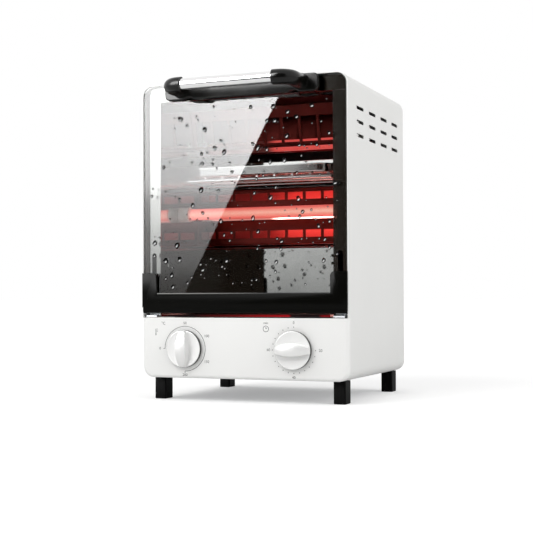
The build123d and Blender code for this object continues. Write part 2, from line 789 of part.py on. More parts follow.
middle_guard_front = at(middle_guard_depth)
middle_guard_back = at(middle_guard_depth + middle_guard_thickness)
middle_guard_low = up(middle_guard_bottom)
middle_guard_high = middle_guard_low + middle_guard_height
with BuildPart() as middle_heater_guard:
    box_between(-guard_half_width, guard_half_width, middle_guard_front, middle_guard_back,
                middle_guard_low, middle_guard_high)
    box_between(-body_width, body_width, middle_guard_front + sheet, middle_guard_back - sheet,
                middle_guard_low + sheet, middle_guard_high - sheet, mode=Mode.SUBTRACT)
    with BuildSketch(facing(middle_guard_front)):
        for z in (middle_guard_low + row_rise, middle_guard_high - row_drop):
            with Locations((0, z)):
                with GridLocations(window_pitch, 1, window_count, 1):
                    Rectangle(window_pitch - window_bar, row_height)
        with Locations((0, middle_guard_low + slit_rise)):
            Rectangle(2 * (guard_half_width - slit_end_room), slit_height)
    extrude(amount=-sheet, mode=Mode.SUBTRACT)
    for z in (middle_guard_low, middle_guard_high):
        rod_x(-guard_half_width, guard_half_width, middle_guard_front + sheet / 2, z, middle_guard_edge_radius)
    for rise in (lower_lip_rise, upper_lip_rise):
        box_between(-guard_half_width + slit_end_room, guard_half_width - slit_end_room,
                    middle_guard_front - lip_depth, middle_guard_front + sheet,
                    middle_guard_low + rise, middle_guard_low + rise + sheet)
keep(middle_heater_guard, "middle_heater_guard")

# ---------------------------------------------------------------- heating tubes
for name, (depth, height) in heaters.items():
    with BuildPart() as quartz_tube:
        rod_x(-tube_half_length, tube_half_length, at(depth), up(height), tube_radius)
        rod_x(-tube_half_length, tube_half_length, at(depth), up(height), tube_radius - tube_wall, mode=Mode.SUBTRACT)
    keep(quartz_tube, f"quartz_tube_{name}")

with BuildPart() as heating_coils:
    for y, z in heater_places:
        rod_x(-tube_half_length, tube_half_length, y, z, coil_radius)
keep(heating_coils, "heating_coils")

with BuildPart() as ceramic_caps:
    for y, z in heater_places:
        for side in sides.values():
            rod_x(side * cap_inner_x, side * (chamber_half_width - 0.2), y, z, cap_radius)
            rod_x(side * (chamber_half_width - 0.2), side * (wall_outer_x + 0.2), y, z, cap_neck_radius)
            rod_x(side * (wall_outer_x + 0.2), side * cap_outer_x, y, z, cap_outer_radius)
            rod_x(side * cap_inner_x, side * (tube_half_length + 0.2), y, z, tube_radius + 0.1, mode=Mode.SUBTRACT)
            rod_x(side * tube_half_length, side * cap_outer_x, y, z, terminal_radius + 0.1, mode=Mode.SUBTRACT)
keep(ceramic_caps, "ceramic_caps")

with BuildPart() as tube_terminals:
    for y, z in heater_places:
        for side in sides.values():
            rod_x(side * tube_half_length, side * terminal_x, y, z, terminal_radius)
            rod_x(side * (cap_outer_x + 0.1), side * (cap_outer_x + 2.4), y, z, 2 * terminal_radius)
keep(tube_terminals, "tube_terminals")

# ---------------------------------------------------------------- door
with BuildPart() as door_glass:
    with BuildSketch(facing(front_y)):
        with Locations((0, ear_top - 3)):
            Rectangle(glass_width, glass_top - ear_top + 3, align=(Align.CENTER, Align.MIN))
        with Locations((0, glass_bottom)):
            Rectangle(bar_width - 2 * ear_width + 6, glass_top - glass_bottom - 1, align=(Align.CENTER, Align.MIN))
    extrude(amount=-glass_thickness)
    fillet(door_glass.edges().filter_by(Axis.Y).group_by(Axis.Z)[-1], glass_corner_radius)
    for side in sides.values():
        rod_y(side * handle_arm_x, handle_z, front_y, at(glass_thickness), 2.6, mode=Mode.SUBTRACT)
keep(door_glass, "door_glass")

arm_screw_x = slot_x + 3.6
arm_screw_rises = (15.0, 31.0)
notch_in = bar_width / 2 - ear_width + 1.8
notch_out = bar_width / 2 - 3.3
knuckle_room = knuckle_radius + 0.2
with BuildPart() as door_bottom_bar:
    with BuildSketch(facing(front_y - bar_proud)):
        with Locations((0, bar_bottom)):
            Rectangle(bar_width, bar_height + ear_height, align=(Align.CENTER, Align.MIN))
        with Locations((0, bar_top)):
            Rectangle(bar_width - 2 * ear_width, ear_height, align=(Align.CENTER, Align.MIN), mode=Mode.SUBTRACT)
    extrude(amount=-(bar_proud + bar_back))
    upright = door_bottom_bar.edges().filter_by(Axis.Y)
    inner_top = [e for e in upright if e.center().Z > ear_top - 1 and abs(e.center().X) < bar_width / 2 - 1]
    fillet(inner_top, ear_radius)
    front_low = door_bottom_bar.faces().sort_by(Axis.Y)[0].edges().filter_by(Axis.X).sort_by(Axis.Z)[0]
    fillet(front_low, bar_edge_radius)
    back_low = door_bottom_bar.faces().sort_by(Axis.Y)[-1].edges().filter_by(Axis.X).sort_by(Axis.Z)[0]
    fillet(back_low, bar_back_radius)
    with BuildSketch(facing(front_y - door_face_play)):
        with Locations((0, ear_top - 3 - door_face_play)):
            Rectangle(glass_width + 2 * door_face_play, 10, align=(Align.CENTER, Align.MIN))
        with Locations((0, glass_bottom - door_face_play)):
            Rectangle(bar_width - 2 * ear_width + 6 + 2 * door_face_play, 80, align=(Align.CENTER, Align.MIN))
    extrude(amount=-(glass_thickness + 2 * door_face_play), mode=Mode.SUBTRACT)
    for side in sides.values():
        box_between(side * notch_in, side * notch_out, pivot_y - knuckle_room, at(bar_back + 1),
                    bar_bottom - 1, pivot_z + knuckle_room + 0.2, mode=Mode.SUBTRACT)
        rod_x(side * (notch_in - 1.6), side * (notch_out + 2.2), pivot_y, pivot_z, pin_radius + run_play,
              mode=Mode.SUBTRACT)
        box_between(side * (slot_x + arm_thickness / 2 - 6.2), side * (slot_x + 7.2), at(bar_back - arm_flange_thickness - 0.1),
                    at(bar_back + 1), pivot_z + arm_root_low - 0.2, pivot_z + arm_root_high + 0.2, mode=Mode.SUBTRACT)
        for rise in arm_screw_rises:
            rod_y(side * arm_screw_x, pivot_z + rise, at(0.5), at(bar_back), screw_radius + 0.05, mode=Mode.SUBTRACT)
        box_between(side * (body_width / 2 - sheet - 2 * shell_play), side * body_width, front_y - shell_play, at(bar_back + 1),
                    bar_bottom - 1, ear_top + 1, mode=Mode.SUBTRACT)
        box_between(side * (body_width / 2 - sheet - 2 * shell_play), side * body_width, front_y - bar_proud - 1, at(bar_back + 1),
                    bar_bottom - 1, pivot_z + pivot_depth + shell_play, mode=Mode.SUBTRACT)
keep(door_bottom_bar, "door_bottom_bar")

handle_base_face = front_y - handle_base_thickness
with BuildPart() as handle_base_plate:
    with BuildSketch(facing(front_y)):
        with Locations((0, handle_z - 1)):
            RectangleRounded(handle_base_width, handle_base_height, handle_base_radius)
        for side in sides.values():
            with Locations((side * handle_notch_x, handle_z - 1 - handle_base_height / 2 - 6)):
                Circle(handle_notch_radius, mode=Mode.SUBTRACT)
    extrude(amount=handle_base_thickness)
    fillet(handle_base_plate.faces().sort_by(Axis.Y)[0].edges(), 1.5)
    for side in sides.values():
        rod_y(side * handle_arm_x, handle_z, handle_base_face, front_y, 2.4, mode=Mode.SUBTRACT)
keep(handle_base_plate, "handle_base_plate")


def handle_arm(side):
    """Curved end of the grip: out of the base plate, round a bend and into the tube."""
    tube_end = side * handle_tube_length / 2
    with BuildPart() as piece:
        with BuildLine() as route:
            FilletPolyline((side * handle_arm_x, handle_base_face, handle_z), (side * handle_arm_x, handle_y, handle_z),
                           (tube_end, handle_y, handle_z), radius=handle_bend_radius)
        with BuildSketch(facing(handle_base_face)):
            with Locations((side * handle_arm_x, handle_z)):
                Circle(handle_arm_radius)
        sweep(path=route.line)
        with Locations((side * handle_arm_x, handle_base_face - handle_collar_height / 2, handle_z)):
            Cone(handle_collar_radius, handle_arm_radius, handle_collar_height, rotation=(90, 0, 0))
        rod_x(tube_end, tube_end - side * handle_spigot_length, handle_y, handle_z,
              handle_tube_radius - handle_tube_wall - 0.1)
        rod_y(side * handle_arm_x, handle_z, handle_base_face - 14, handle_base_face, screw_radius + 0.1,
              mode=Mode.SUBTRACT)
    return piece


for side_name, side in sides.items():
    keep(handle_arm(side), f"handle_arm_{side_name}")

with BuildPart() as handle_tube:
    rod_x(-handle_tube_length / 2, handle_tube_length / 2, handle_y, handle_z, handle_tube_radius)
    rod_x(-handle_tube_length / 2, handle_tube_length / 2, handle_y, handle_z,
          handle_tube_radius - handle_tube_wall, mode=Mode.SUBTRACT)
keep(handle_tube, "handle_tube")


def from_pivot(angle, radius):
    """Point on a hinge arm; the angle runs from straight up, backwards."""
    return (pivot_y + radius * sin(radians(angle)), pivot_z + radius * cos(radians(angle)))


arm_stud = from_pivot(arm_tail_angle, (arm_tail_outer + arm_tail_inner) / 2)


def hinge_arm(side):
    """Crescent plate on the door that runs back through the slot to the spring."""
    root_y = at(bar_back)
    flange_y = root_y - arm_flange_thickness
    inside_x = slot_x - arm_thickness / 2
    with BuildPart() as piece:
        with BuildSketch(sideways(min(side * inside_x, side * (inside_x + arm_thickness)))):
            with BuildLine():
                outer = ThreePointArc((root_y - 0.5, pivot_z + arm_root_high), from_pivot(55, 46.7),
                                      from_pivot(arm_tail_angle, arm_tail_outer))
                cap = ThreePointArc(outer @ 1, from_pivot(arm_tail_angle + 7, (arm_tail_outer + arm_tail_inner) / 2),
                                    from_pivot(arm_tail_angle, arm_tail_inner))
                inner = ThreePointArc(cap @ 1, from_pivot(62, 31), (root_y - 0.5, pivot_z + arm_root_low))
                Line(inner @ 1, outer @ 0)
            make_face()
        extrude(amount=arm_thickness)
        box_between(side * (inside_x - 4), side * (inside_x - 4 + arm_flange_width), flange_y, root_y,
                    pivot_z + arm_root_low, pivot_z + arm_root_high)
        for rise in arm_screw_rises:
            rod_y(side * arm_screw_x, pivot_z + rise, flange_y, root_y, screw_radius + 0.1, mode=Mode.SUBTRACT)
        rod_x(side * (inside_x + arm_thickness), side * (spring_x + spring_radius), *arm_stud, stud_radius)
    return piece


for side_name, side in sides.items():
    keep(hinge_arm(side), f"hinge_arm_{side_name}")

with BuildPart() as door_screws:
    for side in sides.values():
        rod_y(side * handle_arm_x, handle_z, at(glass_thickness), at(glass_thickness) + screw_head_height,
              screw_head_radius)
        rod_y(side * handle_arm_x, handle_z, handle_base_face - 12, at(glass_thickness), screw_radius)
        for rise in arm_screw_rises:
            rod_y(side * arm_screw_x, pivot_z + rise, at(1), at(bar_back), screw_radius)
keep(door_screws, "door_screws")

# ---------------------------------------------------------------- hinges and springs
bracket_in = notch_in + 0.5
bracket_out = notch_out - 0.5


def hinge_bracket(side):
    """Block on the floor's front corner whose knuckle carries the door's pin."""
    with BuildPart() as piece:
        with BuildSketch(sideways(min(side * bracket_in, side * bracket_out))):
            with Locations((at(0.8), floor_top)):
                Rectangle(17, 1.8, align=(Align.MIN, Align.MIN))
            with Locations((at(8.7), floor_top)):
                Rectangle(4.3, pivot_z + 2 - floor_top, align=(Align.MIN, Align.MIN))
            with Locations((pivot_y, pivot_z)):
                Rectangle(at(13) - pivot_y, 4, align=(Align.MIN, Align.CENTER))
                Circle(knuckle_radius)
                Circle(pin_radius, mode=Mode.SUBTRACT)
        extrude(amount=bracket_out - bracket_in)
    return piece


for side_name, side in sides.items():
    keep(hinge_bracket(side), f"hinge_bracket_{side_name}")

with BuildPart() as hinge_pins:
    for side in sides.values():
        rod_x(side * (notch_in - 1.4), side * (notch_out + 2), pivot_y, pivot_z, pin_radius)
keep(hinge_pins, "hinge_pins")


def door_spring(side):
    """Extension spring from the arm's stud down to the tab on the base plate."""
    start = Vector(side * spring_x, *arm_stud)
    end = Vector(side * spring_x, anchor_y, anchor_z)
    along = (end - start).normalized()
    loop_radius = stud_radius + 0.1 + spring_wire
    reach = loop_radius + spring_wire / 2
    with BuildPart() as piece:
        with BuildSketch(Plane(origin=start + along * reach, z_dir=along)):
            Circle(spring_radius)
            Circle(spring_radius - 2 * spring_wire, mode=Mode.SUBTRACT)
        extrude(amount=(end - start).length - 2 * reach)
        for hook in (start, end):
            with Locations(Plane(origin=hook, z_dir=(1, 0, 0))):
                Torus(loop_radius, spring_wire)
        for tip, turn in ((start, 1), (end, -1)):
            with BuildSketch(Plane(origin=tip + along * turn * reach, z_dir=along * turn)):
                Circle(spring_radius)
            extrude(amount=spring_wire * 2)
    return piece


for side_name, side in sides.items():
    keep(door_spring(side), f"door_spring_{side_name}")

# ---------------------------------------------------------------- rack and trays
rack_y0 = at(rack_front)
rack_y1 = rack_y0 + rack_length
wire_z = rack_z + rack_frame_radius + rack_wire_radius - weld_depth
with BuildPart() as wire_rack:
    with BuildSketch(level(rack_z), mode=Mode.PRIVATE) as rack_outline:
        with Locations((0, (rack_y0 + rack_y1) / 2)):
            RectangleRounded(2 * rack_half_width, rack_length, rack_corner)
    rack_route = rack_outline.sketch.faces()[0].outer_wire()
    with BuildSketch(Plane(origin=rack_route @ 0, z_dir=rack_route % 0)):
        Circle(rack_frame_radius)
    sweep(path=rack_route)
    for index in range(rack_wire_count):
        x = (index - (rack_wire_count - 1) / 2) * rack_wire_pitch
        rod_y(x, wire_z, rack_y0, rack_y1, rack_wire_radius)
    for share in (1 / 3, 2 / 3):
        rod_x(-rack_half_width + 1.5, rack_half_width - 1.5, rack_y0 + share * rack_length,
              wire_z - rack_wire_radius - rack_support_radius + weld_depth, rack_support_radius)
keep(wire_rack, "wire_rack")

tray_bottom = wire_z + rack_wire_radius + seat_gap
tray_top = tray_bottom + tray_height
tray_middle_y = (rack_y0 + rack_y1) / 2


def tray_block(inset):
    """Solid with the tray's outline, drawn in by inset on every face but the top."""
    with BuildPart() as block:
        with BuildSketch(level(tray_top)):
            with Locations((0, tray_middle_y)):
                RectangleRounded(tray_width - 2 * inset, tray_length - 2 * inset, tray_corner - inset)
        extrude(amount=-(tray_height - inset), taper=6)
        fillet(block.faces().sort_by(Axis.Z)[0].edges(), 3 - inset)
    return block.part


with BuildPart() as instrument_tray:
    add(tray_block(0))
    with BuildSketch(level(tray_top)):
        with Locations((0, tray_middle_y)):
            RectangleRounded(tray_width + 2 * tray_rim, tray_length + 2 * tray_rim, tray_corner + tray_rim)
    extrude(amount=-tray_sheet)
    add(tray_block(tray_sheet), mode=Mode.SUBTRACT)
keep(instrument_tray, "instrument_tray")

crumb_bottom = floor_top + seat_gap
with BuildPart() as crumb_tray:
    box_between(-crumb_half_width, crumb_half_width, at(crumb_front), at(crumb_front + crumb_length),
                crumb_bottom, crumb_bottom + crumb_height)
    box_between(-crumb_half_width + crumb_sheet, crumb_half_width - crumb_sheet, at(crumb_front) + crumb_sheet,
                at(crumb_front + crumb_length) - crumb_sheet, crumb_bottom + crumb_sheet,
                crumb_bottom + crumb_height + 1, mode=Mode.SUBTRACT)
keep(crumb_tray, "crumb_tray")

# ---------------------------------------------------------------- electrical parts
block_y = at(body_depth - block_rear_gap)
block_z = base_high
with BuildPart() as terminal_block:
    box_between(gland_x - block_half_length, gland_x + block_half_length, block_y - block_half_width,
                block_y + block_half_width, block_z, block_z + block_height)
    with BuildSketch(level(block_z + block_height)):
        with Locations((gland_x, block_y)):
            with GridLocations(14, 1, 3, 1):
                Circle(2.6)
    extrude(amount=-6, mode=Mode.SUBTRACT)
    for index in (-1, 1):
        box_between(gland_x + index * 7 - 0.6, gland_x + index * 7 + 0.6, block_y - block_half_width,
                    block_y + block_half_width, block_z + block_height - 3, block_z + block_height, mode=Mode.SUBTRACT)
keep(terminal_block, "terminal_block")

cutout_y = at(cutout_depth)
with BuildPart() as thermal_cutout:
    box_between(-14, 14, cutout_y - 5, cutout_y + 5, panel_top - sheet, panel_top)
    with BuildSketch(level(panel_top - sheet)):
        with Locations((0, cutout_y)):
            Circle(8)
    extrude(amount=-8)
    box_between(-6, -3, cutout_y - 2, cutout_y + 2, panel_top - 14, panel_top - 8)
    box_between(3, 6, cutout_y - 2, cutout_y + 2, panel_top - 14, panel_top - 8)
keep(thermal_cutout, "thermal_cutout")


def lead(points, bend):
    """Insulated lead: straight runs joined by arcs."""
    with BuildLine() as route:
        FilletPolyline(*points, radius=bend)
    with BuildSketch(Plane(origin=route.line @ 0, z_dir=route.line % 0)) as section:
        Circle(lead_radius)
    sweep(section.sketch, path=route.line)


lead_x = terminal_x + lead_radius
with BuildPart() as wiring:
    lead([(gland_x - 14, block_y - block_half_width, up(lead_height)), (gland_x - 14, at(lead_depths[0]), up(lead_height)),
          (temperature_x + 24, at(lead_depths[2]), up(lead_height)),
          (temperature_x + thermostat_half_width - 4, at(lead_depths[4]), knob_z),
          (temperature_x + thermostat_half_width - 4, at(thermostat_back + thermostat_tag_reach), knob_z)], lead_bend)
    lead([(gland_x + 14, block_y - block_half_width, up(lead_height)), (gland_x + 14, at(lead_depths[1]), up(lead_height)),
          (gland_x - 8, at(lead_depths[3]), up(lead_height + lead_rise)),
          (timer_x - 15, at(lead_depths[5]), knob_z - 15), (timer_x - 15, at(timer_back), knob_z - 15)], lead_bend)
    for side in sides.values():
        places = [(at(depth), up(height)) for depth, height in
                  (heaters["lower"], heaters["middle_front"], heaters["middle_rear"], heaters["upper"])]
        for (y0, z0), (y1, z1) in zip(places, places[1:]):
            with BuildSketch(Plane(origin=(side * lead_x, y0, z0), z_dir=(0, y1 - y0, z1 - z0))):
                Circle(lead_radius)
            extrude(amount=((y1 - y0) ** 2 + (z1 - z0) ** 2) ** 0.5)
keep(wiring, "wiring")
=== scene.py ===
"""Looks of the bench-top dry heat sterilizer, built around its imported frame.

Laid out as an add-on: sizes and colours are scene properties, each group of pieces has an
operator, and main() calls them in order. Metres, in the frame's own axes: X to the right as
the user faces the door, Y towards the back, Z up.
"""

import json
from math import cos, pi, radians, sin

import bmesh
import bpy
import numpy as np
from mathutils import Matrix, Vector

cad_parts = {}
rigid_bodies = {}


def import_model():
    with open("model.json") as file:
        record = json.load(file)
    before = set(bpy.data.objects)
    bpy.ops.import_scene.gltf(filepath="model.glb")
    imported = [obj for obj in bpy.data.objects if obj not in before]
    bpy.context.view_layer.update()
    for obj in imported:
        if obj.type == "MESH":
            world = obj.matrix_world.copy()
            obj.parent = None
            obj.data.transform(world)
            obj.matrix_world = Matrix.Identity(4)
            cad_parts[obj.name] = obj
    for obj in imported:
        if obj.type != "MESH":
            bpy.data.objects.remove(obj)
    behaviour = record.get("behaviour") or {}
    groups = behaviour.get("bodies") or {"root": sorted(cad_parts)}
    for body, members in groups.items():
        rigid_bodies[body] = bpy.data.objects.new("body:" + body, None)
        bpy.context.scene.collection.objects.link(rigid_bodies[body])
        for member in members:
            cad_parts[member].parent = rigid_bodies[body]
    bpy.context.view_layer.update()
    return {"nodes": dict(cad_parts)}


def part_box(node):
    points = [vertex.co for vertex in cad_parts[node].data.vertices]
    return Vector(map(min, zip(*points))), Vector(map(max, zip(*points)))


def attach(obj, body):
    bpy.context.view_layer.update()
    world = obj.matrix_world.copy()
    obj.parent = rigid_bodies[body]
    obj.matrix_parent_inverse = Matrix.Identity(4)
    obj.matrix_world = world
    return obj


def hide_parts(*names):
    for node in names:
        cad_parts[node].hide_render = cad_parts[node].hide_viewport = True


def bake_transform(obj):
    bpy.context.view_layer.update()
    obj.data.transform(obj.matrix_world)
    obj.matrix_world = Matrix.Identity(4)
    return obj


bl_info = {
    "name": "Dry heat sterilizer",
    "version": (1, 0, 0),
    "blender": (4, 5, 0),
    "location": "3D View > Sidebar > Sterilizer",
    "description": "Finishes, dials, knobs, coils and water drops of a bench-top sterilizer",
    "category": "Object",
}

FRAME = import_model()
NODES = FRAME["nodes"]
MM = 0.001

# ------------------------------------------------------------ places read from the frame
GLASS_LOW, GLASS_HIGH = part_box("door_glass")
BAR_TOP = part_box("door_bottom_bar")[1].z
PANEL_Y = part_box("control_panel")[0].y
DOOR_Y = GLASS_LOW.y


def middle(node):
    """Centre of a node's box."""
    low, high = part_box(node)
    return (low + high) / 2


KNOBS = {name: middle(name) for name in ("temperature_knob", "timer_knob")}
TUBES = {name: middle(name) for name in sorted(NODES) if name.startswith("quartz_tube")}


# ------------------------------------------------------------ sizes and colours
def size(name, default, text):
    """Length property in metres."""
    return bpy.props.FloatProperty(name=name, default=default, description=text, unit="LENGTH", precision=5)


def colour(name, default, text):
    """Colour property."""
    return bpy.props.FloatVectorProperty(name=name, default=default, description=text, subtype="COLOR", size=3,
                                         min=0, max=1)


class SterilizerSizes(bpy.types.PropertyGroup):
    """Sizes of the pieces that are added to the frame."""

    knob_ridge: size("Knob ridge", 7 * MM, "Half width of the grip at its middle")
    knob_rim: size("Knob rim", 0.9 * MM, "Radius of the knob's front edge")
    print_line: size("Printed line", 0.5 * MM, "Width of the lines printed on the panel")
    print_height: size("Number height", 2.9 * MM, "Height of the dial numbers")
    scale_radius: size("Scale radius", 24.4 * MM, "Radius of the printed scales")
    coil_radius: size("Coil radius", 3.1 * MM, "Radius of the heating coil in each tube")
    coil_wire: size("Coil wire", 0.35 * MM, "Radius of the heating wire")
    spring_wire: size("Spring wire", 0.55 * MM, "Radius of the door springs' wire")
    drop_count: bpy.props.IntProperty(name="Water drops", default=210, min=0, description="Drops on the door glass")
    drop_radius: size("Largest drop", 3.0 * MM, "Radius of the largest water drop")


class SterilizerColours(bpy.types.PropertyGroup):
    """Colours of the finishes."""

    shell: colour("Shell", (0.76, 0.76, 0.745), "Painted cabinet")
    panel: colour("Panel", (0.86, 0.86, 0.845), "Painted control panel")
    steel: colour("Steel", (0.62, 0.62, 0.605), "Polished steel of the chamber")
    tint: colour("Heat tint", (0.14, 0.022, 0.018), "Steel close to the heating tubes")
    black: colour("Black", (0.003, 0.003, 0.0025), "Enamel and plastic of the door")
    knob: colour("Knob", (0.80, 0.80, 0.79), "Face of the knobs")
    glow: colour("Glow", (1.0, 0.11, 0.095), "Light of the heating tubes")
    ink: colour("Ink", (0.012, 0.012, 0.012), "Print on the panel")


def sizes():
    """The scene's sizes."""
    return bpy.context.scene.sterilizer_sizes


def colours():
    """The scene's colours."""
    return bpy.context.scene.sterilizer_colours


# ------------------------------------------------------------ shader values
class Value:
    """A shader socket that takes part in Python sums: each operator adds a Math node."""

    def __init__(self, finish, socket):
        self.finish = finish
        self.socket = socket

    def _join(self, operation, first, second=None):
        values = {0: first} if second is None else {0: first, 1: second}
        return self.finish.node("ShaderNodeMath", {"operation": operation}, values)

    def __add__(self, other):
        return self._join("ADD", self, other)

    def __radd__(self, other):
        return self._join("ADD", other, self)

    def __sub__(self, other):
        return self._join("SUBTRACT", self, other)

    def __rsub__(self, other):
        return self._join("SUBTRACT", other, self)

    def __mul__(self, other):
        return self._join("MULTIPLY", self, other)

    def __rmul__(self, other):
        return self._join("MULTIPLY", other, self)

    def __truediv__(self, other):
        return self._join("DIVIDE", self, other)

    def __rtruediv__(self, other):
        return self._join("DIVIDE", other, self)

    def __pow__(self, other):
        return self._join("POWER", self, other)

    def __gt__(self, other):
        return self._join("GREATER_THAN", self, other)

    def __lt__(self, other):
        return self._join("LESS_THAN", self, other)

    def __abs__(self):
        return self._join("ABSOLUTE", self)

    def wave(self):
        """Sine of the value."""
        return self._join("SINE", self)

    def between(self, low, high):
        """0 below low, 1 above high, smooth from one to the other."""
        return self.finish.node("ShaderNodeMapRange", {"interpolation_type": "SMOOTHSTEP"},
                                {"Value": self, "From Min": low, "From Max": high})


class Finish:
    """A material, or the world, in the making."""

    def __init__(self, name, kind="materials", output="ShaderNodeOutputMaterial"):
        self.owner = getattr(bpy.data, kind).new(name)
        self.owner.use_nodes = True
        self.tree = self.owner.node_tree
        self.tree.nodes.clear()
        self.output = self.tree.nodes.new(output)

    def node(self, kind, settings=None, values=None, out=0):
        """Adds a node: settings first, then the values or links of its sockets."""
        made = self.tree.nodes.new(kind)
        for key, setting in (settings or {}).items():
            if key == "stops":
                self._stops(made.color_ramp, setting)
            else:
                setattr(made, key, setting)
        for key, value in (values or {}).items():
            if isinstance(value, Value):
                self.tree.links.new(value.socket, made.inputs[key])
            else:
                made.inputs[key].default_value = value
        return Value(self, made.outputs[out])

    @staticmethod
    def _stops(ramp, stops):
        while len(ramp.elements) < len(stops):
            ramp.elements.new(0.5)
        for element, (place, shade) in zip(ramp.elements, stops):
            element.position = place
            element.color = (*shade, 1) if len(shade) == 3 else shade

    def place(self, scale):
        """Object coordinates, stretched by scale."""
        spot = self.node("ShaderNodeTexCoord", out=3)
        return self.node("ShaderNodeMapping", {}, {"Vector": spot, "Scale": scale})

    def split(self, vector):
        """The three parts of a vector."""
        first = self.node("ShaderNodeSeparateXYZ", {}, {0: vector})
        return [Value(self, socket) for socket in first.socket.node.outputs]

    def axes(self):
        """Object coordinates as three values."""
        return self.split(self.node("ShaderNodeTexCoord", out="Object"))

    def noise(self, scale, detail, stretch=(1, 1, 1)):
        """Noise from 0 to 1; scale is in lumps per metre."""
        return self.node("ShaderNodeTexNoise", {}, {"Vector": self.place(stretch), "Scale": scale, "Detail": detail})

    def mix(self, factor, first, second):
        """Colour between first and second."""
        return self.node("ShaderNodeMix", {"data_type": "RGBA"}, {0: factor, 6: rgba(first), 7: rgba(second)}, out=2)

    def blend(self, first, second):
        """Product of two colours."""
        return self.node("ShaderNodeMix", {"data_type": "RGBA", "blend_type": "MULTIPLY"},
                         {0: 1.0, 6: rgba(first), 7: rgba(second)}, out=2)

    def ramp(self, value, stops):
        """Colour looked up along stops."""
        return self.node("ShaderNodeValToRGB", {"stops": stops}, {"Fac": value})

    def bump(self, height, depth, strength=1.0):
        """Normal for a height field; depth in metres."""
        return self.node("ShaderNodeBump", {}, {"Height": height, "Distance": depth, "Strength": strength})

    def principled(self, **values):
        """Principled shader; socket names with underscores for spaces."""
        sockets = {key.replace("_", " "): rgba(v) if "Color" in key else v for key, v in values.items()}
        return self.node("ShaderNodeBsdfPrincipled", {}, sockets)

    def done(self, shader):
        """Links the shader and gives the material or world."""
        self.tree.links.new(shader.socket, self.output.inputs["Surface"])
        return self.owner


def rgba(value):
    """Three numbers as a colour with alpha 1; anything else as it is."""
    if isinstance(value, Value) or len(value) == 4:
        return value
    return (*value, 1.0)


def darker(shade, factor):
    """The colour times a factor."""
    return tuple(channel * factor for channel in shade)


# ------------------------------------------------------------ finishes
def paint(name, shade, rough):
    """Stoved powder paint: faint orange peel, slight unevenness of tone, a little dust low down."""
    f = Finish(name)
    tone = f.noise(9, 4).between(0.3, 0.75)
    _, _, height = f.axes()
    dust = 1 - height.between(0.02, 0.09)
    base = f.mix(tone * 0.5, shade, darker(shade, 0.965))
    base = f.mix(dust * 0.10, base, darker(shade, 0.8))
    peel = f.noise(520, 2)
    return f.done(f.principled(Base_Color=base, Roughness=rough + f.noise(40, 3) * 0.08, Specular_IOR_Level=0.35,
                               Normal=f.bump(peel, 0.05 * MM, 0.25)))


def polished(name, shade, rough, brush, unevenness=0.06):
    """Rolled and polished steel: fine brushing, cloudy tone and roughness."""
    f = Finish(name)
    grain = f.noise(700, 2, brush)
    cloud = f.noise(24, 4)
    base = f.mix(cloud.between(0.35, 0.7) * 0.6, shade, darker(shade, 0.86))
    return f.done(f.principled(Base_Color=base, Metallic=1.0, Roughness=rough + (grain + cloud) * unevenness,
                               Normal=f.bump(grain, 0.01 * MM, 2 * unevenness)))


def plain_metal(name, shade, rough):
    """Plated or bare steel of small parts with a light satin grain."""
    f = Finish(name)
    grain = f.noise(1500, 2)
    patch = f.noise(90, 3)
    base = f.mix(patch, shade, darker(shade, 0.8))
    return f.done(f.principled(Base_Color=base, Metallic=1.0, Roughness=rough + patch * 0.1,
                               Normal=f.bump(grain, 0.01 * MM, 0.3)))


def moulded(name, shade, rough, grain_size=1400, grain_depth=0.02, gloss=0.45):
    """Moulded plastic, enamel or rubber: fine grain, a lighter sheen where fingers wear it, a trace of dust."""
    f = Finish(name)
    grain = f.noise(grain_size, 2)
    wear = f.noise(30, 4).between(0.35, 0.7)
    base = f.mix(wear * 0.5, shade, tuple(min(1, c * 1.3 + 0.0005) for c in shade))
    return f.done(f.principled(Base_Color=base, Roughness=rough + wear * 0.08, Specular_IOR_Level=gloss,
                               Normal=f.bump(grain, grain_depth * MM, 0.35)))


def bar_enamel(shade):
    """Black enamel with a painted highlight: a pale line along the top edge between the ears, paler towards the left,
    standing in for the glare's reflection.
    """
    f = Finish("bar_enamel")
    x, _, z = f.axes()
    grain = f.noise(700, 3)
    wear = f.noise(60, 4, (1, 1, 4))
    ear_height, ear_x = 22 * MM, 101 * MM
    top = BAR_TOP - ear_height
    # painted highlight: a pale line on the top edge in place of the glare's reflection, brighter on the left
    line = z.between(top - 1.3 * MM, top - 0.7 * MM) * (z < top + 0.4 * MM) * (abs(x) < ear_x)
    painted_glare_line = f.ramp(x / 0.2 + 0.5 + wear * 0.1,
                  ((0.0, (0.30, 0.30, 0.29)), (0.35, (0.22, 0.22, 0.21)), (0.7, (0.03, 0.03, 0.03))))
    base = f.mix(line, f.mix(wear.between(0.5, 0.8), shade, darker(shade, 1.3)), painted_glare_line)
    return f.done(f.principled(Base_Color=base, Roughness=0.12 + wear * 0.05, Specular_IOR_Level=0.05,
                               Normal=f.bump(grain, 0.005 * MM, 0.2)))


def door_glass():
    """Clear flat glass: what isn't reflected passes through with a faint grey tint."""
    f = Finish("door_glass_clear")
    smear = f.noise(14, 4, (1, 1, 0.4)).between(0.45, 0.8)
    mirror = f.node("ShaderNodeBsdfAnisotropic", {}, {"Color": (1, 1, 1, 1), "Roughness": 0.0})
    clear = f.node("ShaderNodeBsdfTransparent", {}, {"Color": (0.95, 0.955, 0.955, 1)})
    bounce = f.node("ShaderNodeFresnel", {}, {"IOR": 1.5})
    return f.done(f.node("ShaderNodeMixShader", {}, {0: bounce + smear * 0.004, 1: clear, 2: mirror}))


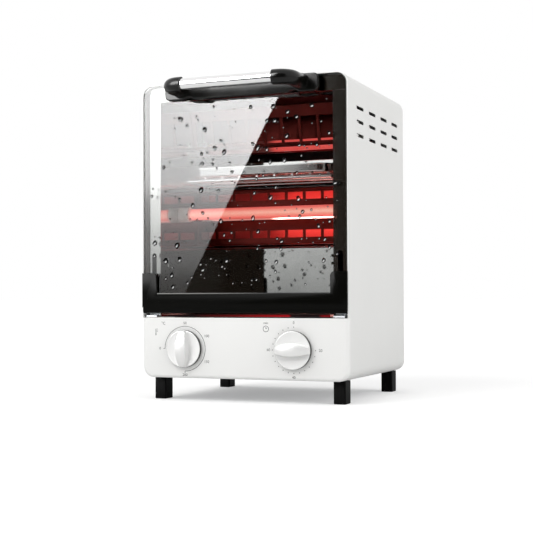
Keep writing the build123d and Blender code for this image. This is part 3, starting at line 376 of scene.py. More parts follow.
def quartz(name, stops, strength, lit=(-1, -0.9)):
    """Quartz lit from within: pale where it is seen straight on, redder at its edges.

    The coil glows from the second of the two places along the tube onwards, and not before the first.
    """
    f = Finish(name)
    along, _, _ = f.axes()
    rim = f.node("ShaderNodeLayerWeight", {}, {"Blend": 0.5}, out=1)
    pitch, cap_inner, cap_outer = 3.2 * MM, 84 * MM, 93 * MM
    turns = (along * (2 * pi / pitch)).wave()
    mottle = f.noise(260, 3)
    glow = f.ramp(rim + mottle * 0.06 - 0.03, stops)
    ends = (1 - abs(along).between(cap_inner, cap_outer)) * (along.between(*lit) * 0.94 + 0.06)
    level = ends * (1.0 + turns * 0.03 + mottle * 0.08)
    glow = f.blend(glow, f.ramp(level, ((0, (0, 0, 0)), (1, (1, 1, 1)))))
    return f.done(f.principled(Base_Color=(0.25, 0.12, 0.10), Roughness=0.28 + mottle * 0.05, Emission_Color=glow,
                               Emission_Strength=strength))


def reflector_guard(shade):
    """Heat-stained sheet of the upper guard; the rear of its reflector is left bare and matt."""
    f = Finish("guard_steel")
    grain = f.noise(700, 2, (0.06, 1, 1))
    cloud = f.noise(24, 4)
    _, y, _ = f.axes()
    reflector_rear = DOOR_Y + 117.85 * MM
    rear = y > reflector_rear
    base = f.mix(rear, f.mix(cloud.between(0.35, 0.7) * 0.6, shade, darker(shade, 0.6)), (0.95, 0.95, 0.94))
    return f.done(f.principled(Base_Color=base, Metallic=1.0, Roughness=rear * 0.35 + 0.3 + (grain + cloud) * 0.05,
                               Normal=f.bump(grain, 0.01 * MM, 0.12)))


def tinted_guard(shade, inner):
    """Heat-stained sheet of a tube's guard: dark outside, a dull red oxide bloom inside its channel."""
    f = Finish("guard_oxide")
    grain = f.noise(700, 2, (0.06, 1, 1))
    cloud = f.noise(24, 4)
    _, y, z = f.axes()
    low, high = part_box("middle_heater_guard")
    front, back, wall = DOOR_Y + 104.5 * MM, DOOR_Y + 133.5 * MM, 0.5 * MM
    within = (y > front) * (y < back) * (z > low.z + wall) * (z < high.z - wall)
    outer = f.mix(cloud.between(0.35, 0.7) * 0.6, shade, darker(shade, 0.6))
    base = f.mix(within, outer, inner)
    return f.done(f.principled(Base_Color=base, Metallic=1 - within, Roughness=within * 0.3 + 0.3 + cloud * 0.05,
                               Normal=f.bump(grain, 0.01 * MM, 0.12)))


def crumb_sheet(shade):
    """Bare sheet of the crumb tray with painted shade, dark towards its rear; its front lip carries a painted
    reflection of the red heaters' glow, in stripes across its width.
    """
    f = Finish("crumb_sheet")
    x, y, _ = f.axes()
    grain = f.noise(900, 2, (0.1, 1, 1))
    # painted reflection: the red glow of the heaters, painted on the front lip in stripes across its width
    painted_red_reflection = f.ramp(x / 0.2 + 0.5,
                   ((0.0, (0.09, 0.003, 0.003)), (0.06, (0.02, 0.002, 0.002)), (0.2, (0.01, 0.002, 0.002)),
                    (0.45, (0.2, 0.005, 0.006)), (0.6, (0.42, 0.006, 0.01)), (0.76, (0.6, 0.006, 0.014)),
                    (0.775, (0.015, 0.004, 0.004)), (0.93, (0.015, 0.004, 0.004)), (0.95, (0.3, 0.006, 0.01))))
    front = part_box("crumb_tray")[0].y
    lip = y < front + 0.5 * MM
    # painted shade: the tray's inside darkens towards its rear
    painted_shade_rear = y.between(front + 15 * MM, front + 90 * MM)
    base = f.mix(lip, f.mix(painted_shade_rear, shade, (0.012, 0.010, 0.009)), painted_red_reflection)
    return f.done(f.principled(Base_Color=base, Metallic=(1 - lip) * (1 - painted_shade_rear),
                               Roughness=lip * 0.4 + painted_shade_rear * 0.4 + 0.3 + grain * 0.1, Specular_IOR_Level=0.1,
                               Normal=f.bump(grain, 0.01 * MM, 0.2)))


def hot_coil(shade):
    """Resistance wire at working heat."""
    f = Finish("coil_hot")
    flicker = f.noise(300, 2)
    return f.done(f.principled(Base_Color=(0.2, 0.1, 0.08), Roughness=0.6,
                               Emission_Color=f.mix(flicker, shade, (1.0, 0.45, 0.2)), Emission_Strength=1.2))


def ceramic():
    """Unglazed steatite with fine pits and slight browning."""
    f = Finish("ceramic_steatite")
    pits = f.noise(900, 3)
    brown = f.noise(60, 3).between(0.45, 0.75)
    return f.done(f.principled(Base_Color=f.mix(brown * 0.6, (0.78, 0.76, 0.71), (0.55, 0.47, 0.38)), Roughness=0.7,
                               Normal=f.bump(pits, 0.04 * MM, 0.5)))


def board():
    """Pressed ceramic fibre board."""
    f = Finish("fibre_board")
    fibre = f.noise(500, 5, (1, 1, 3))
    return f.done(f.principled(Base_Color=f.mix(fibre, (0.72, 0.68, 0.58), (0.6, 0.55, 0.45)), Roughness=0.95,
                               Normal=f.bump(fibre, 0.3 * MM, 0.6)))


def water():
    """Drops with painted light: painted shade above and at the rim, a painted highlight in the lower core, in place of
    the view a lens turns round.
    """
    f = Finish("water_drops")
    x, _, z = f.split(f.node("ShaderNodeTexCoord", out="Normal"))
    lean = z * 0.85 - x * 0.5
    rim = (x * x + z * z).between(0.12, 0.32)
    # painted highlight: white in the lower core; painted shade: black above and at the rim
    light = (0 - lean).between(0.02, 0.25) * (1 - rim)
    cover = lean.between(-0.04, 0.12) * 0.93 + (0 - lean).between(0.02, 0.3) * 0.95 + 0.03
    speck = f.noise(2500, 1)
    body = f.principled(Base_Color=f.mix(light, (0.01, 0.01, 0.01), (1, 1, 1)), Roughness=0.1 + speck * 0.03,
                        Specular_IOR_Level=0.0)
    clear = f.node("ShaderNodeBsdfTransparent", {}, {"Color": (0.92, 0.92, 0.92, 1)})
    return f.done(f.node("ShaderNodeMixShader", {}, {0: cover, 1: clear, 2: body}))


def ink(shade):
    """Screen print with slightly uneven cover."""
    f = Finish("panel_ink")
    cover = f.noise(1800, 2)
    return f.done(f.principled(Base_Color=f.mix(cover * 0.6, shade, darker(shade, 2.0)), Roughness=0.5))


def knob_face(shade):
    """Satin sprayed knob face."""
    f = Finish("knob_face")
    fleck = f.noise(3000, 2)
    tone = f.noise(60, 2)
    return f.done(f.principled(Base_Color=f.mix(tone, shade, darker(shade, 0.95)), Metallic=0.15,
                               Roughness=0.32 + fleck * 0.06, Coat_Weight=0.25,
                               Normal=f.bump(fleck, 0.01 * MM, 0.15)))


def finish_nodes():
    """Every frame node gets its procedural finish: the first whose key starts the node's name."""
    c = colours()
    shell = paint("shell_paint", tuple(c.shell), 0.42)
    frame_steel = polished("frame_steel", (0.60, 0.60, 0.58), 0.06, (1, 1, 0.06))
    zinc = plain_metal("zinc_plate", (0.62, 0.63, 0.64), 0.32)
    sheet = plain_metal("galvanised_sheet", (0.58, 0.60, 0.62), 0.45)
    chrome = plain_metal("chrome_wire", (0.82, 0.82, 0.82), 0.12)
    brass = plain_metal("shaft_brass", (0.75, 0.58, 0.28), 0.25)
    black_plastic = moulded("black_plastic", tuple(c.black), 0.2, 1800, 0.01, 0.3)
    white_plastic = moulded("block_plastic", (0.75, 0.75, 0.70), 0.4)
    steatite = ceramic()
    lit = (-14 * MM, 1 * MM)
    finishes = {
        "outer_shell": shell,
        "back_panel": shell,
        "control_panel": paint("panel_paint", tuple(c.panel), 0.36),
        "chamber_ceiling": polished("ceiling_steel", (0.12, 0.09, 0.08), 0.25, (1, 1, 0.06)),
        "chamber_": polished("chamber_steel", tuple(c.steel), 0.012, (1, 1, 0.08), 0.03),
        "top_rail": frame_steel,
        "left_stile": frame_steel,
        "right_stile": frame_steel,
        "upper_heater_guard": reflector_guard(tuple(c.tint)),
        "middle_heater_guard": tinted_guard(tuple(c.tint), (0.42, 0.05, 0.045)),
        "base_plate": sheet,
        "rear_heat_shield": sheet,
        "insulation": board(),
        "thermostat_shaft": brass,
        "timer_shaft": brass,
        "timer_bell": chrome,
        "door_glass": door_glass(),
        "door_bottom_bar": bar_enamel(tuple(c.black)),
        "handle_tube": polished("handle_steel", (0.90, 0.90, 0.90), 0.05, (0.05, 1, 1)),
        "handle_": black_plastic,
        "cord_gland": black_plastic,
        "foot_": moulded("foot_rubber", (0.002, 0.002, 0.002), 0.5, 1400, 0.02, 0.06),
        "wire_rack": chrome,
        "instrument_tray": polished("tray_steel", (0.70, 0.70, 0.69), 0.08, (0.2, 1, 1)),
        "crumb_tray": crumb_sheet((0.80, 0.80, 0.81)),
        "hinge_bracket": sheet,
        "quartz_tube_middle_front": quartz("quartz_front", ((0.0, (1.0, 0.60, 0.46)), (0.02, (1.0, 0.58, 0.44)),
                                                            (0.10, (0.94, 0.34, 0.26)), (0.3, (0.88, 0.17, 0.14)),
                                                            (0.85, (0.6, 0.05, 0.04))), 1.0),
        "quartz_tube_upper": quartz("quartz_upper", ((0.0, darker(c.glow, 0.8)), (1.0, darker(c.glow, 0.6))), 1.0, lit),
        "quartz_tube": quartz("quartz_hidden", ((0.0, (1.0, 0.42, 0.36)), (1.0, (0.95, 0.38, 0.33))), 11.0, lit),
        "ceramic_caps": steatite,
        "thermal_cutout": steatite,
        "terminal_block": white_plastic,
        "temperature_knob": white_plastic,
        "timer_knob": white_plastic,
        "wiring": moulded("lead_sleeve", (0.55, 0.08, 0.05), 0.6),
        "": zinc,
    }
    for node, obj in NODES.items():
        key = next(start for start in finishes if node.startswith(start))
        obj.data.materials.clear()
        obj.data.materials.append(finishes[key])


# ------------------------------------------------------------ surfaces
def quads(rows, columns):
    """Corner numbers of the faces between neighbouring points of a grid whose columns wrap round."""
    i, j = np.meshgrid(np.arange(rows - 1), np.arange(columns), indexing="ij")
    j2 = (j + 1) % columns
    return np.stack([i * columns + j, (i + 1) * columns + j, (i + 1) * columns + j2, i * columns + j2],
                    -1).reshape(-1, 4)


def piece(name, grids, materials, body, replaces=(), sharp=60):
    """One welded mesh from grids of points whose columns wrap round: each is (points[n, m, 3], material number)."""
    points, faces, numbers, start = [], [], [], 0
    for grid, number in grids:
        rows, columns, _ = grid.shape
        found = quads(rows, columns) + start
        points.append(grid.reshape(-1, 3))
        faces.append(found)
        numbers.append(np.full(len(found), number))
        start += rows * columns
    mesh = bpy.data.meshes.new(name)
    mesh.from_pydata(np.concatenate(points), [], np.concatenate(faces))
    mesh.polygons.foreach_set("material_index", np.concatenate(numbers).astype(np.int32))
    for material in materials:
        mesh.materials.append(material)
    return settle(mesh, name, body, replaces, sharp)


def settle(mesh, name, body, replaces, sharp):
    """Welds the mesh, turns its faces out and puts it on its body, if it has one."""
    work = bmesh.new()
    work.from_mesh(mesh)
    bmesh.ops.remove_doubles(work, verts=work.verts, dist=0.0015 * MM)
    bmesh.ops.dissolve_degenerate(work, edges=work.edges, dist=0.0005 * MM)
    bmesh.ops.recalc_face_normals(work, faces=work.faces)
    work.to_mesh(mesh)
    work.free()
    mesh.shade_smooth()
    mesh.set_sharp_from_angle(angle=radians(sharp))
    obj = bpy.data.objects.new(name, mesh)
    bpy.context.scene.collection.objects.link(obj)
    if body:
        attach(obj, body)
    if replaces:
        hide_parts(*replaces)
    return obj


def capped(rows):
    """Closes both ends of a grid of rings with a point at each end ring's middle."""
    ends = [np.repeat(ring.mean(0)[None, None], rows.shape[1], 1) for ring in (rows[0], rows[-1])]
    return np.concatenate([ends[0], rows, ends[1]])


def tube_along(path, radius, sides=6):
    """Round tube: a circle of the given radius carried along the points of path, square to its run."""
    run = np.gradient(path, axis=0)
    run /= np.linalg.norm(run, axis=1, keepdims=True)
    aside = [0.31, 0.95, 0.06]
    across = np.cross(run, aside)
    across /= np.linalg.norm(across, axis=1, keepdims=True)
    over = np.cross(run, across)
    turn = np.linspace(0, 2 * pi, sides, endpoint=False)[None, :, None]
    return capped(path[:, None] + radius * (np.cos(turn) * across[:, None] + np.sin(turn) * over[:, None]))


def flat_strip(path, width, height):
    """Flat bar on the panel's face: a rectangle carried along (x, z) points, standing proud by height."""
    run = np.gradient(path, axis=0)
    run /= np.linalg.norm(run, axis=1, keepdims=True)
    side = np.stack([-run[:, 1], run[:, 0]], 1) * width / 2
    lift = [(1, 0.0), (1, -height), (-1, -height), (-1, 0.0)]
    rows = [np.stack([path[:, 0] + s * side[:, 0], np.full(len(path), PANEL_Y + y), path[:, 1] + s * side[:, 1]], 1)
            for s, y in lift]
    return capped(np.stack(rows, 1))


def arc_points(centre, radius, start, stop, count):
    """(x, z) points on a circle; angles clockwise from straight up as the user sees them."""
    turn = np.radians(np.linspace(start, stop, count))
    return np.stack([centre.x + radius * np.sin(turn), centre.z + radius * np.cos(turn)], 1)


def arc_point(centre, radius, angle):
    """One (x, z) point of such a circle."""
    return arc_points(centre, radius, angle, angle, 1)[0]


def softened(node, width, body):
    """Copy of a frame node, welded, with its sharp edges rounded to the given width, in its place."""
    source = NODES[node]
    work = bmesh.new()
    work.from_mesh(source.data)
    bmesh.ops.remove_doubles(work, verts=work.verts, dist=0.002 * MM)
    bmesh.ops.dissolve_limit(work, angle_limit=radians(1), verts=work.verts, edges=work.edges)
    sharp = [edge for edge in work.edges if len(edge.link_faces) == 2 and edge.calc_face_angle() > radians(35)]
    bmesh.ops.bevel(work, geom=sharp, offset=width, offset_type="OFFSET", segments=2, profile=0.5,
                    affect="EDGES", clamp_overlap=True)
    mesh = bpy.data.meshes.new(f"{node}_rounded")
    work.to_mesh(mesh)
    work.free()
    mesh.materials.append(source.data.materials[0])
    settle(mesh, f"{node}_rounded", body, (node,), 30)


def soften_edges():
    """Rounds the edges of the door's bottom bar and of the feet."""
    softened("door_bottom_bar", 0.7 * MM, "door")
    for place in ("front_left", "front_right", "rear_left", "rear_right"):
        softened(f"foot_{place}", 0.5 * MM, "cabinet")


# ------------------------------------------------------------ knobs
def knob_grid(centre, low_y, high_y, radius, upright):
    """Knob as rings from its back edge over the rim to its middle: the skirt's grid, then the face's.

    The face is a slightly dished disc. The grip's crest over it is 0.3 + 0.7 (1 - (b/R)^2) to the
    power 0.8 of its rise, times a plateau that ends in smooth steps at the lens-shaped plan's
    edge, where a and b run across and along the grip.
    """
    s = sizes()
    rim = s.knob_rim
    skirt, recess, chamfer, step = 4.2 * MM, 0.7 * MM, 0.2 * MM, 2.2 * MM
    waist, margin, fade, dishing = 3.4 * MM, 0.4 * MM, 0.9 * MM, 0.7 * MM
    face_y = high_y - skirt
    bend = np.linspace(0, pi / 2, 7)
    side_r = np.concatenate([[radius - step, radius - step + chamfer, radius - chamfer, radius],
                             radius - rim + rim * np.cos(bend)])
    side_y = np.concatenate([[high_y - recess, high_y, high_y, high_y - chamfer], face_y + rim - rim * np.sin(bend)])
    flat_r = np.linspace(radius - rim, 0, 110)[1:]
    turn = np.linspace(0, 2 * pi, 256, endpoint=False)
    r = np.concatenate([side_r, flat_r])[:, None]
    y = np.concatenate([side_y, np.full(len(flat_r), face_y)])[:, None]
    a, b = r * np.sin(turn), r * np.cos(turn)
    share = np.clip(1 - (b / radius) ** 2, 0, 1)
    q = np.abs(a) / (waist + (s.knob_ridge - waist) * share)
    edge = np.clip((1.03 - q) / 0.20, 0, 1)
    plateau = edge * edge * (3 - 2 * edge) * (1 - 0.10 * np.minimum(q, 1) ** 2)
    inside = np.clip((radius - margin - r) / fade, 0, 1)
    crest = (face_y - low_y) * (0.30 + 0.70 * share ** 0.8)
    dish = dishing * np.clip(1 - (r / (radius - rim)) ** 2, 0, 1)
    y = y - crest * plateau * inside ** 0.5 + dish * (1 - plateau) * (r < radius - rim)
    x = centre.x + (a if upright else b)
    z = centre.z + (b if upright else a)
    points = np.stack([x, np.broadcast_to(y, x.shape), z], -1)
    hub = [centre.x, high_y - recess, centre.z]
    back = np.broadcast_to(hub, (1, len(turn), 3))
    rings = len(side_r)
    return np.concatenate([back, points[: rings - 3]]), points[rings - 4:]


def make_knobs():
    """Both knobs: dark skirt, sprayed face with its grip."""
    skirt = moulded("knob_skirt", (0.03, 0.03, 0.03), 0.2, 2000, 0.005)
    face = knob_face(tuple(colours().knob))
    for name, upright, body in (("temperature_knob", True, "temperature_control"),
                                ("timer_knob", False, "timer_control")):
        low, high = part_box(name)
        side, front = knob_grid(KNOBS[name], low.y, high.y, (high.x - low.x) / 2, upright)
        piece(f"{name}_cap", [(side, 0), (front, 1)], [skirt, face], body, (name,), 40)


# ------------------------------------------------------------ print on the panel
def number_mesh(text, x, z, height):
    """Points and faces of a printed number, centred at (x, z) on the panel."""
    curve = bpy.data.curves.new("number", "FONT")
    curve.body = text
    curve.align_x = "CENTER"
    curve.align_y = "CENTER"
    curve.size = height * 1.4
    proud = 0.02 * MM
    curve.extrude = proud
    curve.resolution_u = 3
    holder = bpy.data.objects.new("number", curve)
    mesh = bpy.data.meshes.new_from_object(holder)
    mesh.transform(Matrix.Translation((x, PANEL_Y - proud, z)) @ Matrix.Rotation(pi / 2, 4, "X"))
    bpy.data.objects.remove(holder)
    bpy.data.curves.remove(curve)
    return mesh


def dot_path(centre, radius, angle):
    """Two points close together, so that a wide strip through them prints as a dot."""
    x, z = arc_point(centre, radius, angle)
    return np.array([[x - 0.42 * MM, z], [x + 0.42 * MM, z]])


def make_dials():
    """Scales, dots, ticks and plain numbers round the knobs, with a small clock and thermometer."""
    s = sizes()
    line, radius, height = s.print_line, s.scale_radius, s.print_height
    heat, time = KNOBS["temperature_knob"], KNOBS["timer_knob"]
    clock = Vector((time.x - 31.7 * MM, 0, time.z + 22.3 * MM))
    bulb = Vector((heat.x - 35.7 * MM, 0, heat.z + 15.4 * MM))
    strips = [(arc_points(heat, radius, -90, 180, 110), line)]
    for angle in (-90, 180):
        strips.append((np.stack([arc_point(heat, radius + grow * MM, angle) for grow in (-0.2, 2.2)]), line))
    for angle in range(0, 271, 15):
        strips.append((dot_path(time, radius, -angle), 0.9 * MM))
    strips.append((arc_points(clock, 3.1 * MM, 0, 360, 40), line))
    for angle, reach in ((0, 1.9 * MM), (55, 1.5 * MM)):
        strips.append((np.stack([[clock.x, clock.z], arc_point(clock, reach, angle)]), line))
    strips.append((dot_path(bulb, 0, 0), 2.3 * MM))
    strips.append((np.array([[bulb.x, bulb.z], [bulb.x, bulb.z + 6.2 * MM]]), line * 1.3))
    for step in range(3):
        z = bulb.z + (3 + 1.4 * step) * MM
        strips.append((np.array([[bulb.x + 1.0 * MM, z], [bulb.x + 2.2 * MM, z]]), line * 0.8))
    print_ink = ink(tuple(colours().ink))
    piece("panel_scales", [(flat_strip(path, width, 0.04 * MM), 0) for path, width in strips], [print_ink],
          "cabinet", sharp=20)

    dials = (("0", heat, -90, 30.5), ("50", heat, 0, 27.9), ("100", heat, 62, 29.6), ("150", heat, 118, 29.6),
             ("200", heat, 180, 28.6), ("0", time, 0, 28.9), ("60", time, -90, 28.9), ("40", time, 180, 28.7),
             ("20", time, 90, 30.0))
    labels = [(text, *arc_point(centre, reach * MM, angle), height) for text, centre, angle, reach in dials]
    labels += [("°C", heat.x - 26.5 * MM, heat.z + 27.4 * MM, height * 1.1),
               ("min", clock.x, clock.z + 6.2 * MM, height * 0.9)]
    whole = bmesh.new()
    for label in labels:
        mesh = number_mesh(*label)
        whole.from_mesh(mesh)
        bpy.data.meshes.remove(mesh)
    joined = bpy.data.meshes.new("panel_numbers")
    whole.to_mesh(joined)
    whole.free()
    joined.materials.append(print_ink)
    settle(joined, "panel_numbers", "cabinet", (), 20)


# ------------------------------------------------------------ coils and springs
def make_coils():
    """A wound heating coil in each tube: x runs evenly while y and z go round, end legs straight."""
    s = sizes()
    turns, length = 46, 192 * MM
    t = np.linspace(0, 1, turns * 14)
    swell = s.coil_radius * np.minimum(np.minimum(t, 1 - t) * 40, 1)
    angle = 2 * pi * turns * t
    grids = []
    for centre in TUBES.values():
        path = np.stack([centre.x + (t - 0.5) * length, centre.y + swell * np.sin(angle),
                         centre.z + swell * np.cos(angle)], 1)
        grids.append((tube_along(path, s.coil_wire), 0))
    piece("heating_wire", grids, [hot_coil(tuple(colours().glow))], "cabinet", ("heating_coils",))


def make_springs():
    """Wound door springs: a helix between the arm's stud and the base plate's tab, ends hooked over both."""
    s = sizes()
    wire = NODES["hinge_pins"].data.materials[0]
    hook, hook_radius, coil_radius, turns = 2.7 * MM, 2.15 * MM, 2.5 * MM, 34
    t = np.linspace(0, 1, 900)[:, None]
    ring = np.linspace(0, 2 * pi, 25)[:, None]
    sideways = np.array([1, 0, 0])
    for side in ("left", "right"):
        low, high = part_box(f"door_spring_{side}")
        x = (low.x + high.x) / 2
        start = np.array([x, low.y + hook, high.z - hook])
        end = np.array([x, high.y - hook, low.z + hook])
        length = np.linalg.norm(end - start)
        run = (end - start) / length
        over = np.cross(run, sideways)
        radius = coil_radius * np.clip(np.minimum(t, 1 - t) * length / (4 * MM) - 0.2, 0, 1)
        turn = 2 * pi * turns * t
        helix = start + run * length * t + radius * (np.cos(turn) * over + np.sin(turn) * sideways)
        loops = [spot + hook_radius * (np.cos(ring) * over + np.sin(ring) * run) for spot in (start, end)]
        grids = [(tube_along(path, s.spring_wire), 0) for path in (helix, *loops)]
        spring = piece(f"wound_spring_{side}", grids, [wire], None)
        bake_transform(spring)
        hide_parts(f"door_spring_{side}")


# ------------------------------------------------------------ water drops
def make_drops():
    """Condensed drops on the door's glass.

    Each is a cap of height 0.62 R (1 - (r/R)^2) to the power 0.6. Its outline is wavered by two
    slow sines, and its lower half is stretched by up to 0.45, the larger drops more.
    """
    s = sizes()
    rng = np.random.default_rng(11)
    inner, above_bar, under_handle = 9 * MM, -18 * MM, 26 * MM
    low_x, high_x = GLASS_LOW.x + inner, GLASS_HIGH.x - inner
    low_z, high_z = BAR_TOP + above_bar, GLASS_HIGH.z - under_handle
    turn = np.linspace(0, 2 * pi, 18, endpoint=False)
    ring = np.array([1.0, 0.93, 0.8, 0.6, 0.35, 0.0])[:, None]
    grids, taken = [], []
    while len(taken) < s.drop_count:
        radius = s.drop_radius * (0.26 + 0.74 * rng.random() ** 1.9)
        x, z = rng.uniform(low_x, high_x), rng.uniform(low_z, high_z)
        if any((x - p) ** 2 + (z - q) ** 2 < (radius + g) ** 2 * 1.3 for p, q, g in taken):
            continue
        taken.append((x, z, radius))
        sag = 1 + 0.45 * rng.random() * radius / s.drop_radius
        edge = radius * (1 + 0.10 * np.sin(2 * turn + rng.uniform(0, 6)) + 0.05 * np.sin(3 * turn + rng.uniform(0, 6)))
        a = ring * edge * np.sin(turn)
        b = ring * edge * np.cos(turn) * np.where(np.cos(turn) < 0, sag, 1.0)
        lift = 0.62 * radius * (1 - ring ** 2) ** 0.6
        cap = np.stack([x + a, DOOR_Y - 0.005 * MM - np.broadcast_to(lift, a.shape), z + b], -1)
        base = np.repeat(cap[:1].mean(1, keepdims=True), len(turn), 1)
        grids.append((np.concatenate([base, cap]), 0))
    piece("water_drops", grids, [water()], "door")


# ------------------------------------------------------------ stage
CAMERA_PLACE = Vector((0.49903, -1.23273, 0.11393))
CAMERA_YAW, CAMERA_PITCH, CAMERA_ROLL = radians(22.31), radians(1.454), radians(-0.184)
CAMERA_LENS, SENSOR = 78.64, 36.0
CARD_DISTANCE = 0.9
GLARE_TOP, GLARE_FOOT = (0.0430, 0.3265), (-0.0805, 0.0941)
CARD_LEVELS = ((0.0, 0.031), (0.098, 0.058), (0.17, 0.11), (0.247, 0.15), (0.32, 0.17), (0.468, 0.31),
               (0.545, 0.53), (0.694, 0.66), (0.766, 0.74), (0.877, 0.77), (1.0, 0.77))
CARD_STRENGTH = 23.0
INSIDE_LEVELS = ((0.0, 0.022), (0.05, 0.026), (0.26, 0.040), (0.5, 0.062), (0.76, 0.098), (1.0, 0.11))
INSIDE_EDGE = (-0.312, -0.298)


def on_card(x, z):
    """Place on the card that the camera sees mirrored at (x, z) on the door."""
    eye = Vector((CAMERA_PLACE.x, 2 * DOOR_Y - CAMERA_PLACE.y, CAMERA_PLACE.z))
    target = Vector((x, DOOR_Y, z))
    card_y = DOOR_Y - CARD_DISTANCE
    return eye + (target - eye) * ((eye.y - card_y) / (eye.y - target.y))


def stage_plane(name, low, high, y, material):
    """Upright rectangle of the studio."""
    corners = [(low[0], y, low[1]), (high[0], y, low[1]), (high[0], y, high[1]), (low[0], y, high[1])]
    mesh = bpy.data.meshes.new(name)
    mesh.from_pydata(corners, [], [(0, 1, 2, 3)])
    mesh.materials.append(material)
    obj = bpy.data.objects.new(name, mesh)
    bpy.context.scene.collection.objects.link(obj)
    obj.visible_camera = False
    obj.visible_diffuse = False
    obj.visible_shadow = False


def greys(levels):
    """Stops of grey from (place, level) pairs."""
    return [(place, (level,) * 3) for place, level in levels]


def card_material():
    """Black flag with a bright window whose right edge slants, brighter towards its top.

    What the polished steel behind the glass sees is its own window with an upright edge.
    """
    f = Finish("studio_card")
    x, _, z = f.axes()
    top, foot = on_card(*GLARE_TOP), on_card(*GLARE_FOOT)
    slope = (top.x - foot.x) / (top.z - foot.z)
    edge = x - (z - foot.z) * slope - foot.x
    low, high = on_card(0, 0.11).z, on_card(0, 0.345).z
    share = (z - low) / (high - low)
    left, right = on_card(-0.12, 0.3).x, on_card(0.05, 0.3).x
    outside = f.mix(edge.between(-2 * MM, 2 * MM), f.ramp(share, greys(CARD_LEVELS)), (0, 0, 0))
    outside = f.blend(outside, f.ramp((x - left) / (right - left), greys(((0, 0.86), (1, 1.12)))))
    inside = f.ramp(share, greys(INSIDE_LEVELS))
    inside = f.mix(x.between(*INSIDE_EDGE), inside, (0.0012, 0.0009, 0.0007))
    through = f.node("ShaderNodeLightPath", out="Transparent Depth")
    behind = f.mix(through > 2.5, (0, 0, 0), inside)
    glow = f.node("ShaderNodeEmission", {}, {"Color": f.mix(through > 0.5, outside, behind), "Strength": CARD_STRENGTH})
    return f.done(glow)


def soft_lamp(name, place, target, power):
    """Large soft area lamp that looks at target, not seen in reflections."""
    lamp = bpy.data.lights.new(name, "AREA")
    lamp.size = 1.6
    lamp.energy = power
    obj = bpy.data.objects.new(name, lamp)
    bpy.context.scene.collection.objects.link(obj)
    obj.visible_glossy = False
    obj.location = place
    obj.rotation_euler = (Vector(target) - Vector(place)).to_track_quat("-Z", "Y").to_euler()


def floor_material():
    """White paper floor that keeps the object's shadow and pales away behind it."""
    f = Finish("studio_floor")
    speck = f.noise(3, 2)
    paper = f.node("ShaderNodeBsdfDiffuse", {}, {"Color": f.mix(speck, (0.80, 0.80, 0.80), (0.79, 0.79, 0.79))})
    _, depth, _ = f.axes()
    paleness = f.ramp(depth / 2.5, greys(((0.12, 0.30), (0.8, 0.47))))
    lift = f.node("ShaderNodeEmission", {}, {"Color": paleness, "Strength": 1.0})
    lifted = f.node("ShaderNodeAddShader", {}, {0: paper, 1: lift})
    seen = f.node("ShaderNodeLightPath", out="Is Camera Ray")
    return f.done(f.node("ShaderNodeMixShader", {}, {0: seen, 1: paper, 2: lifted}))


def world_light():
    """Even studio light; white where the camera or a reflection sees it."""
    f = Finish("studio", "worlds", "ShaderNodeOutputWorld")
    seen = f.node("ShaderNodeLightPath", out="Is Camera Ray") + f.node("ShaderNodeLightPath", out="Is Glossy Ray")
    light = f.node("ShaderNodeBackground", {}, {"Color": (1, 1, 1, 1), "Strength": seen * 0.30 + 0.70})
    world = f.done(light)
    world.cycles.sampling_method = "NONE"
    bpy.context.scene.world = world


def place_camera():
    """Camera fitted to the view: yaw, pitch and roll turn its axes before it is put in place."""
    forward = Vector((-sin(CAMERA_YAW) * cos(CAMERA_PITCH), cos(CAMERA_YAW) * cos(CAMERA_PITCH), sin(CAMERA_PITCH)))
    right = Vector((cos(CAMERA_YAW), sin(CAMERA_YAW), 0))
    above = right.cross(forward)
    rolled_right = cos(CAMERA_ROLL) * right + sin(CAMERA_ROLL) * above
    rolled_above = -sin(CAMERA_ROLL) * right + cos(CAMERA_ROLL) * above
    lens = bpy.data.cameras.new("camera")
    lens.lens = CAMERA_LENS
    lens.sensor_width = SENSOR
    camera = bpy.data.objects.new("camera", lens)
    turn = Matrix((rolled_right, rolled_above, -forward)).transposed().to_4x4()
    camera.matrix_world = Matrix.Translation(CAMERA_PLACE) @ turn
    bpy.context.scene.collection.objects.link(camera)
    bpy.context.scene.camera = camera


def make_stage():
    """Floor, lamps, flag with its window, world and camera."""
    mesh = bpy.data.meshes.new("studio_floor")
    mesh.from_pydata([(-30, -30, 0), (30, -30, 0), (30, 30, 0), (-30, 30, 0)], [], [(0, 1, 2, 3)])
    mesh.materials.append(floor_material())
    floor = bpy.data.objects.new("studio_floor", mesh)
    bpy.context.scene.collection.objects.link(floor)
    stage_plane("studio_card", (-1.4, 0.001), (1.0, 1.1), DOOR_Y - CARD_DISTANCE, card_material())
    soft_lamp("key_lamp", (-0.9, -1.6, 1.9), (0, 0, 0.15), 24)
    soft_lamp("side_lamp", (2.0, -0.4, 1.2), (0.1, 0, 0.15), 14)
    world_light()
    place_camera()
    bpy.context.scene.view_settings.view_transform = "Standard"


# ------------------------------------------------------------ operators and panel
def finished(action):
    """Runs a step and checks that it left new objects or finishes; an error stops the script."""
    before = len(bpy.data.objects) + len(bpy.data.materials)
    action()
    if len(bpy.data.objects) + len(bpy.data.materials) == before:
        raise RuntimeError(f"{action.__name__} made nothing")
    return {"FINISHED"}


class STERILIZER_OT_finishes(bpy.types.Operator):
    """Gives every node of the frame its procedural finish."""

    bl_idname = "sterilizer.finishes"
    bl_label = "Finish the frame"
    bl_options = {"REGISTER", "UNDO"}

    def execute(self, context):
        return finished(finish_nodes)


class STERILIZER_OT_edges(bpy.types.Operator):
    """Rounds the edges of the door's bottom bar and of the feet."""

    bl_idname = "sterilizer.edges"
    bl_label = "Rounded edges"
    bl_options = {"REGISTER", "UNDO"}

    def execute(self, context):
        return finished(soften_edges)


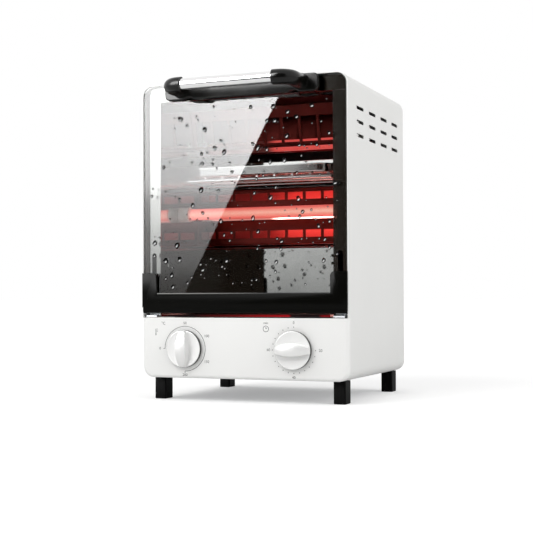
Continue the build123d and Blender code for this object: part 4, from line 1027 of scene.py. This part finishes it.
class STERILIZER_OT_knobs(bpy.types.Operator):
    """Builds the two control knobs with their grips and skirts."""

    bl_idname = "sterilizer.knobs"
    bl_label = "Knobs"
    bl_options = {"REGISTER", "UNDO"}

    def execute(self, context):
        return finished(make_knobs)


class STERILIZER_OT_dials(bpy.types.Operator):
    """Prints the arcs, dots and numbers round the knobs."""

    bl_idname = "sterilizer.dials"
    bl_label = "Printed dials"
    bl_options = {"REGISTER", "UNDO"}

    def execute(self, context):
        return finished(make_dials)


class STERILIZER_OT_coils(bpy.types.Operator):
    """Winds the heating wire of each quartz tube."""

    bl_idname = "sterilizer.coils"
    bl_label = "Heating coils"
    bl_options = {"REGISTER", "UNDO"}

    def execute(self, context):
        return finished(make_coils)


class STERILIZER_OT_springs(bpy.types.Operator):
    """Winds the two springs that hold the door."""

    bl_idname = "sterilizer.springs"
    bl_label = "Door springs"
    bl_options = {"REGISTER", "UNDO"}

    def execute(self, context):
        return finished(make_springs)


class STERILIZER_OT_drops(bpy.types.Operator):
    """Scatters water drops on the outside of the door glass."""

    bl_idname = "sterilizer.drops"
    bl_label = "Water drops"
    bl_options = {"REGISTER", "UNDO"}

    def execute(self, context):
        return finished(make_drops)


class STERILIZER_OT_stage(bpy.types.Operator):
    """Adds the floor, the reflected card, the lamps, the world and the camera."""

    bl_idname = "sterilizer.stage"
    bl_label = "Studio"
    bl_options = {"REGISTER", "UNDO"}

    def execute(self, context):
        return finished(make_stage)


OPERATORS = (STERILIZER_OT_finishes, STERILIZER_OT_edges, STERILIZER_OT_knobs,
             STERILIZER_OT_dials, STERILIZER_OT_coils, STERILIZER_OT_springs,
             STERILIZER_OT_drops, STERILIZER_OT_stage)


class STERILIZER_PT_panel(bpy.types.Panel):
    """Sidebar panel with the sizes, the colours and a button for each step."""

    bl_label = "Sterilizer"
    bl_space_type = "VIEW_3D"
    bl_region_type = "UI"
    bl_category = "Sterilizer"

    def draw(self, context):
        for group in (context.scene.sterilizer_sizes, context.scene.sterilizer_colours):
            for name in group.__annotations__:
                self.layout.prop(group, name)
        for step in OPERATORS:
            self.layout.operator(step.bl_idname)


CLASSES = [SterilizerSizes, SterilizerColours, *OPERATORS, STERILIZER_PT_panel]


def register():
    """Adds the classes and the scene's properties."""
    for cls in CLASSES:
        bpy.utils.register_class(cls)
    bpy.types.Scene.sterilizer_sizes = bpy.props.PointerProperty(type=SterilizerSizes)
    bpy.types.Scene.sterilizer_colours = bpy.props.PointerProperty(type=SterilizerColours)


def unregister():
    """Takes them away again."""
    del bpy.types.Scene.sterilizer_colours
    del bpy.types.Scene.sterilizer_sizes
    for cls in reversed(CLASSES):
        bpy.utils.unregister_class(cls)


def main():
    """Builds everything."""
    register()
    for step in OPERATORS:
        getattr(bpy.ops.sterilizer, step.bl_idname.split(".")[1])()


if __name__ == "__main__":
    main()
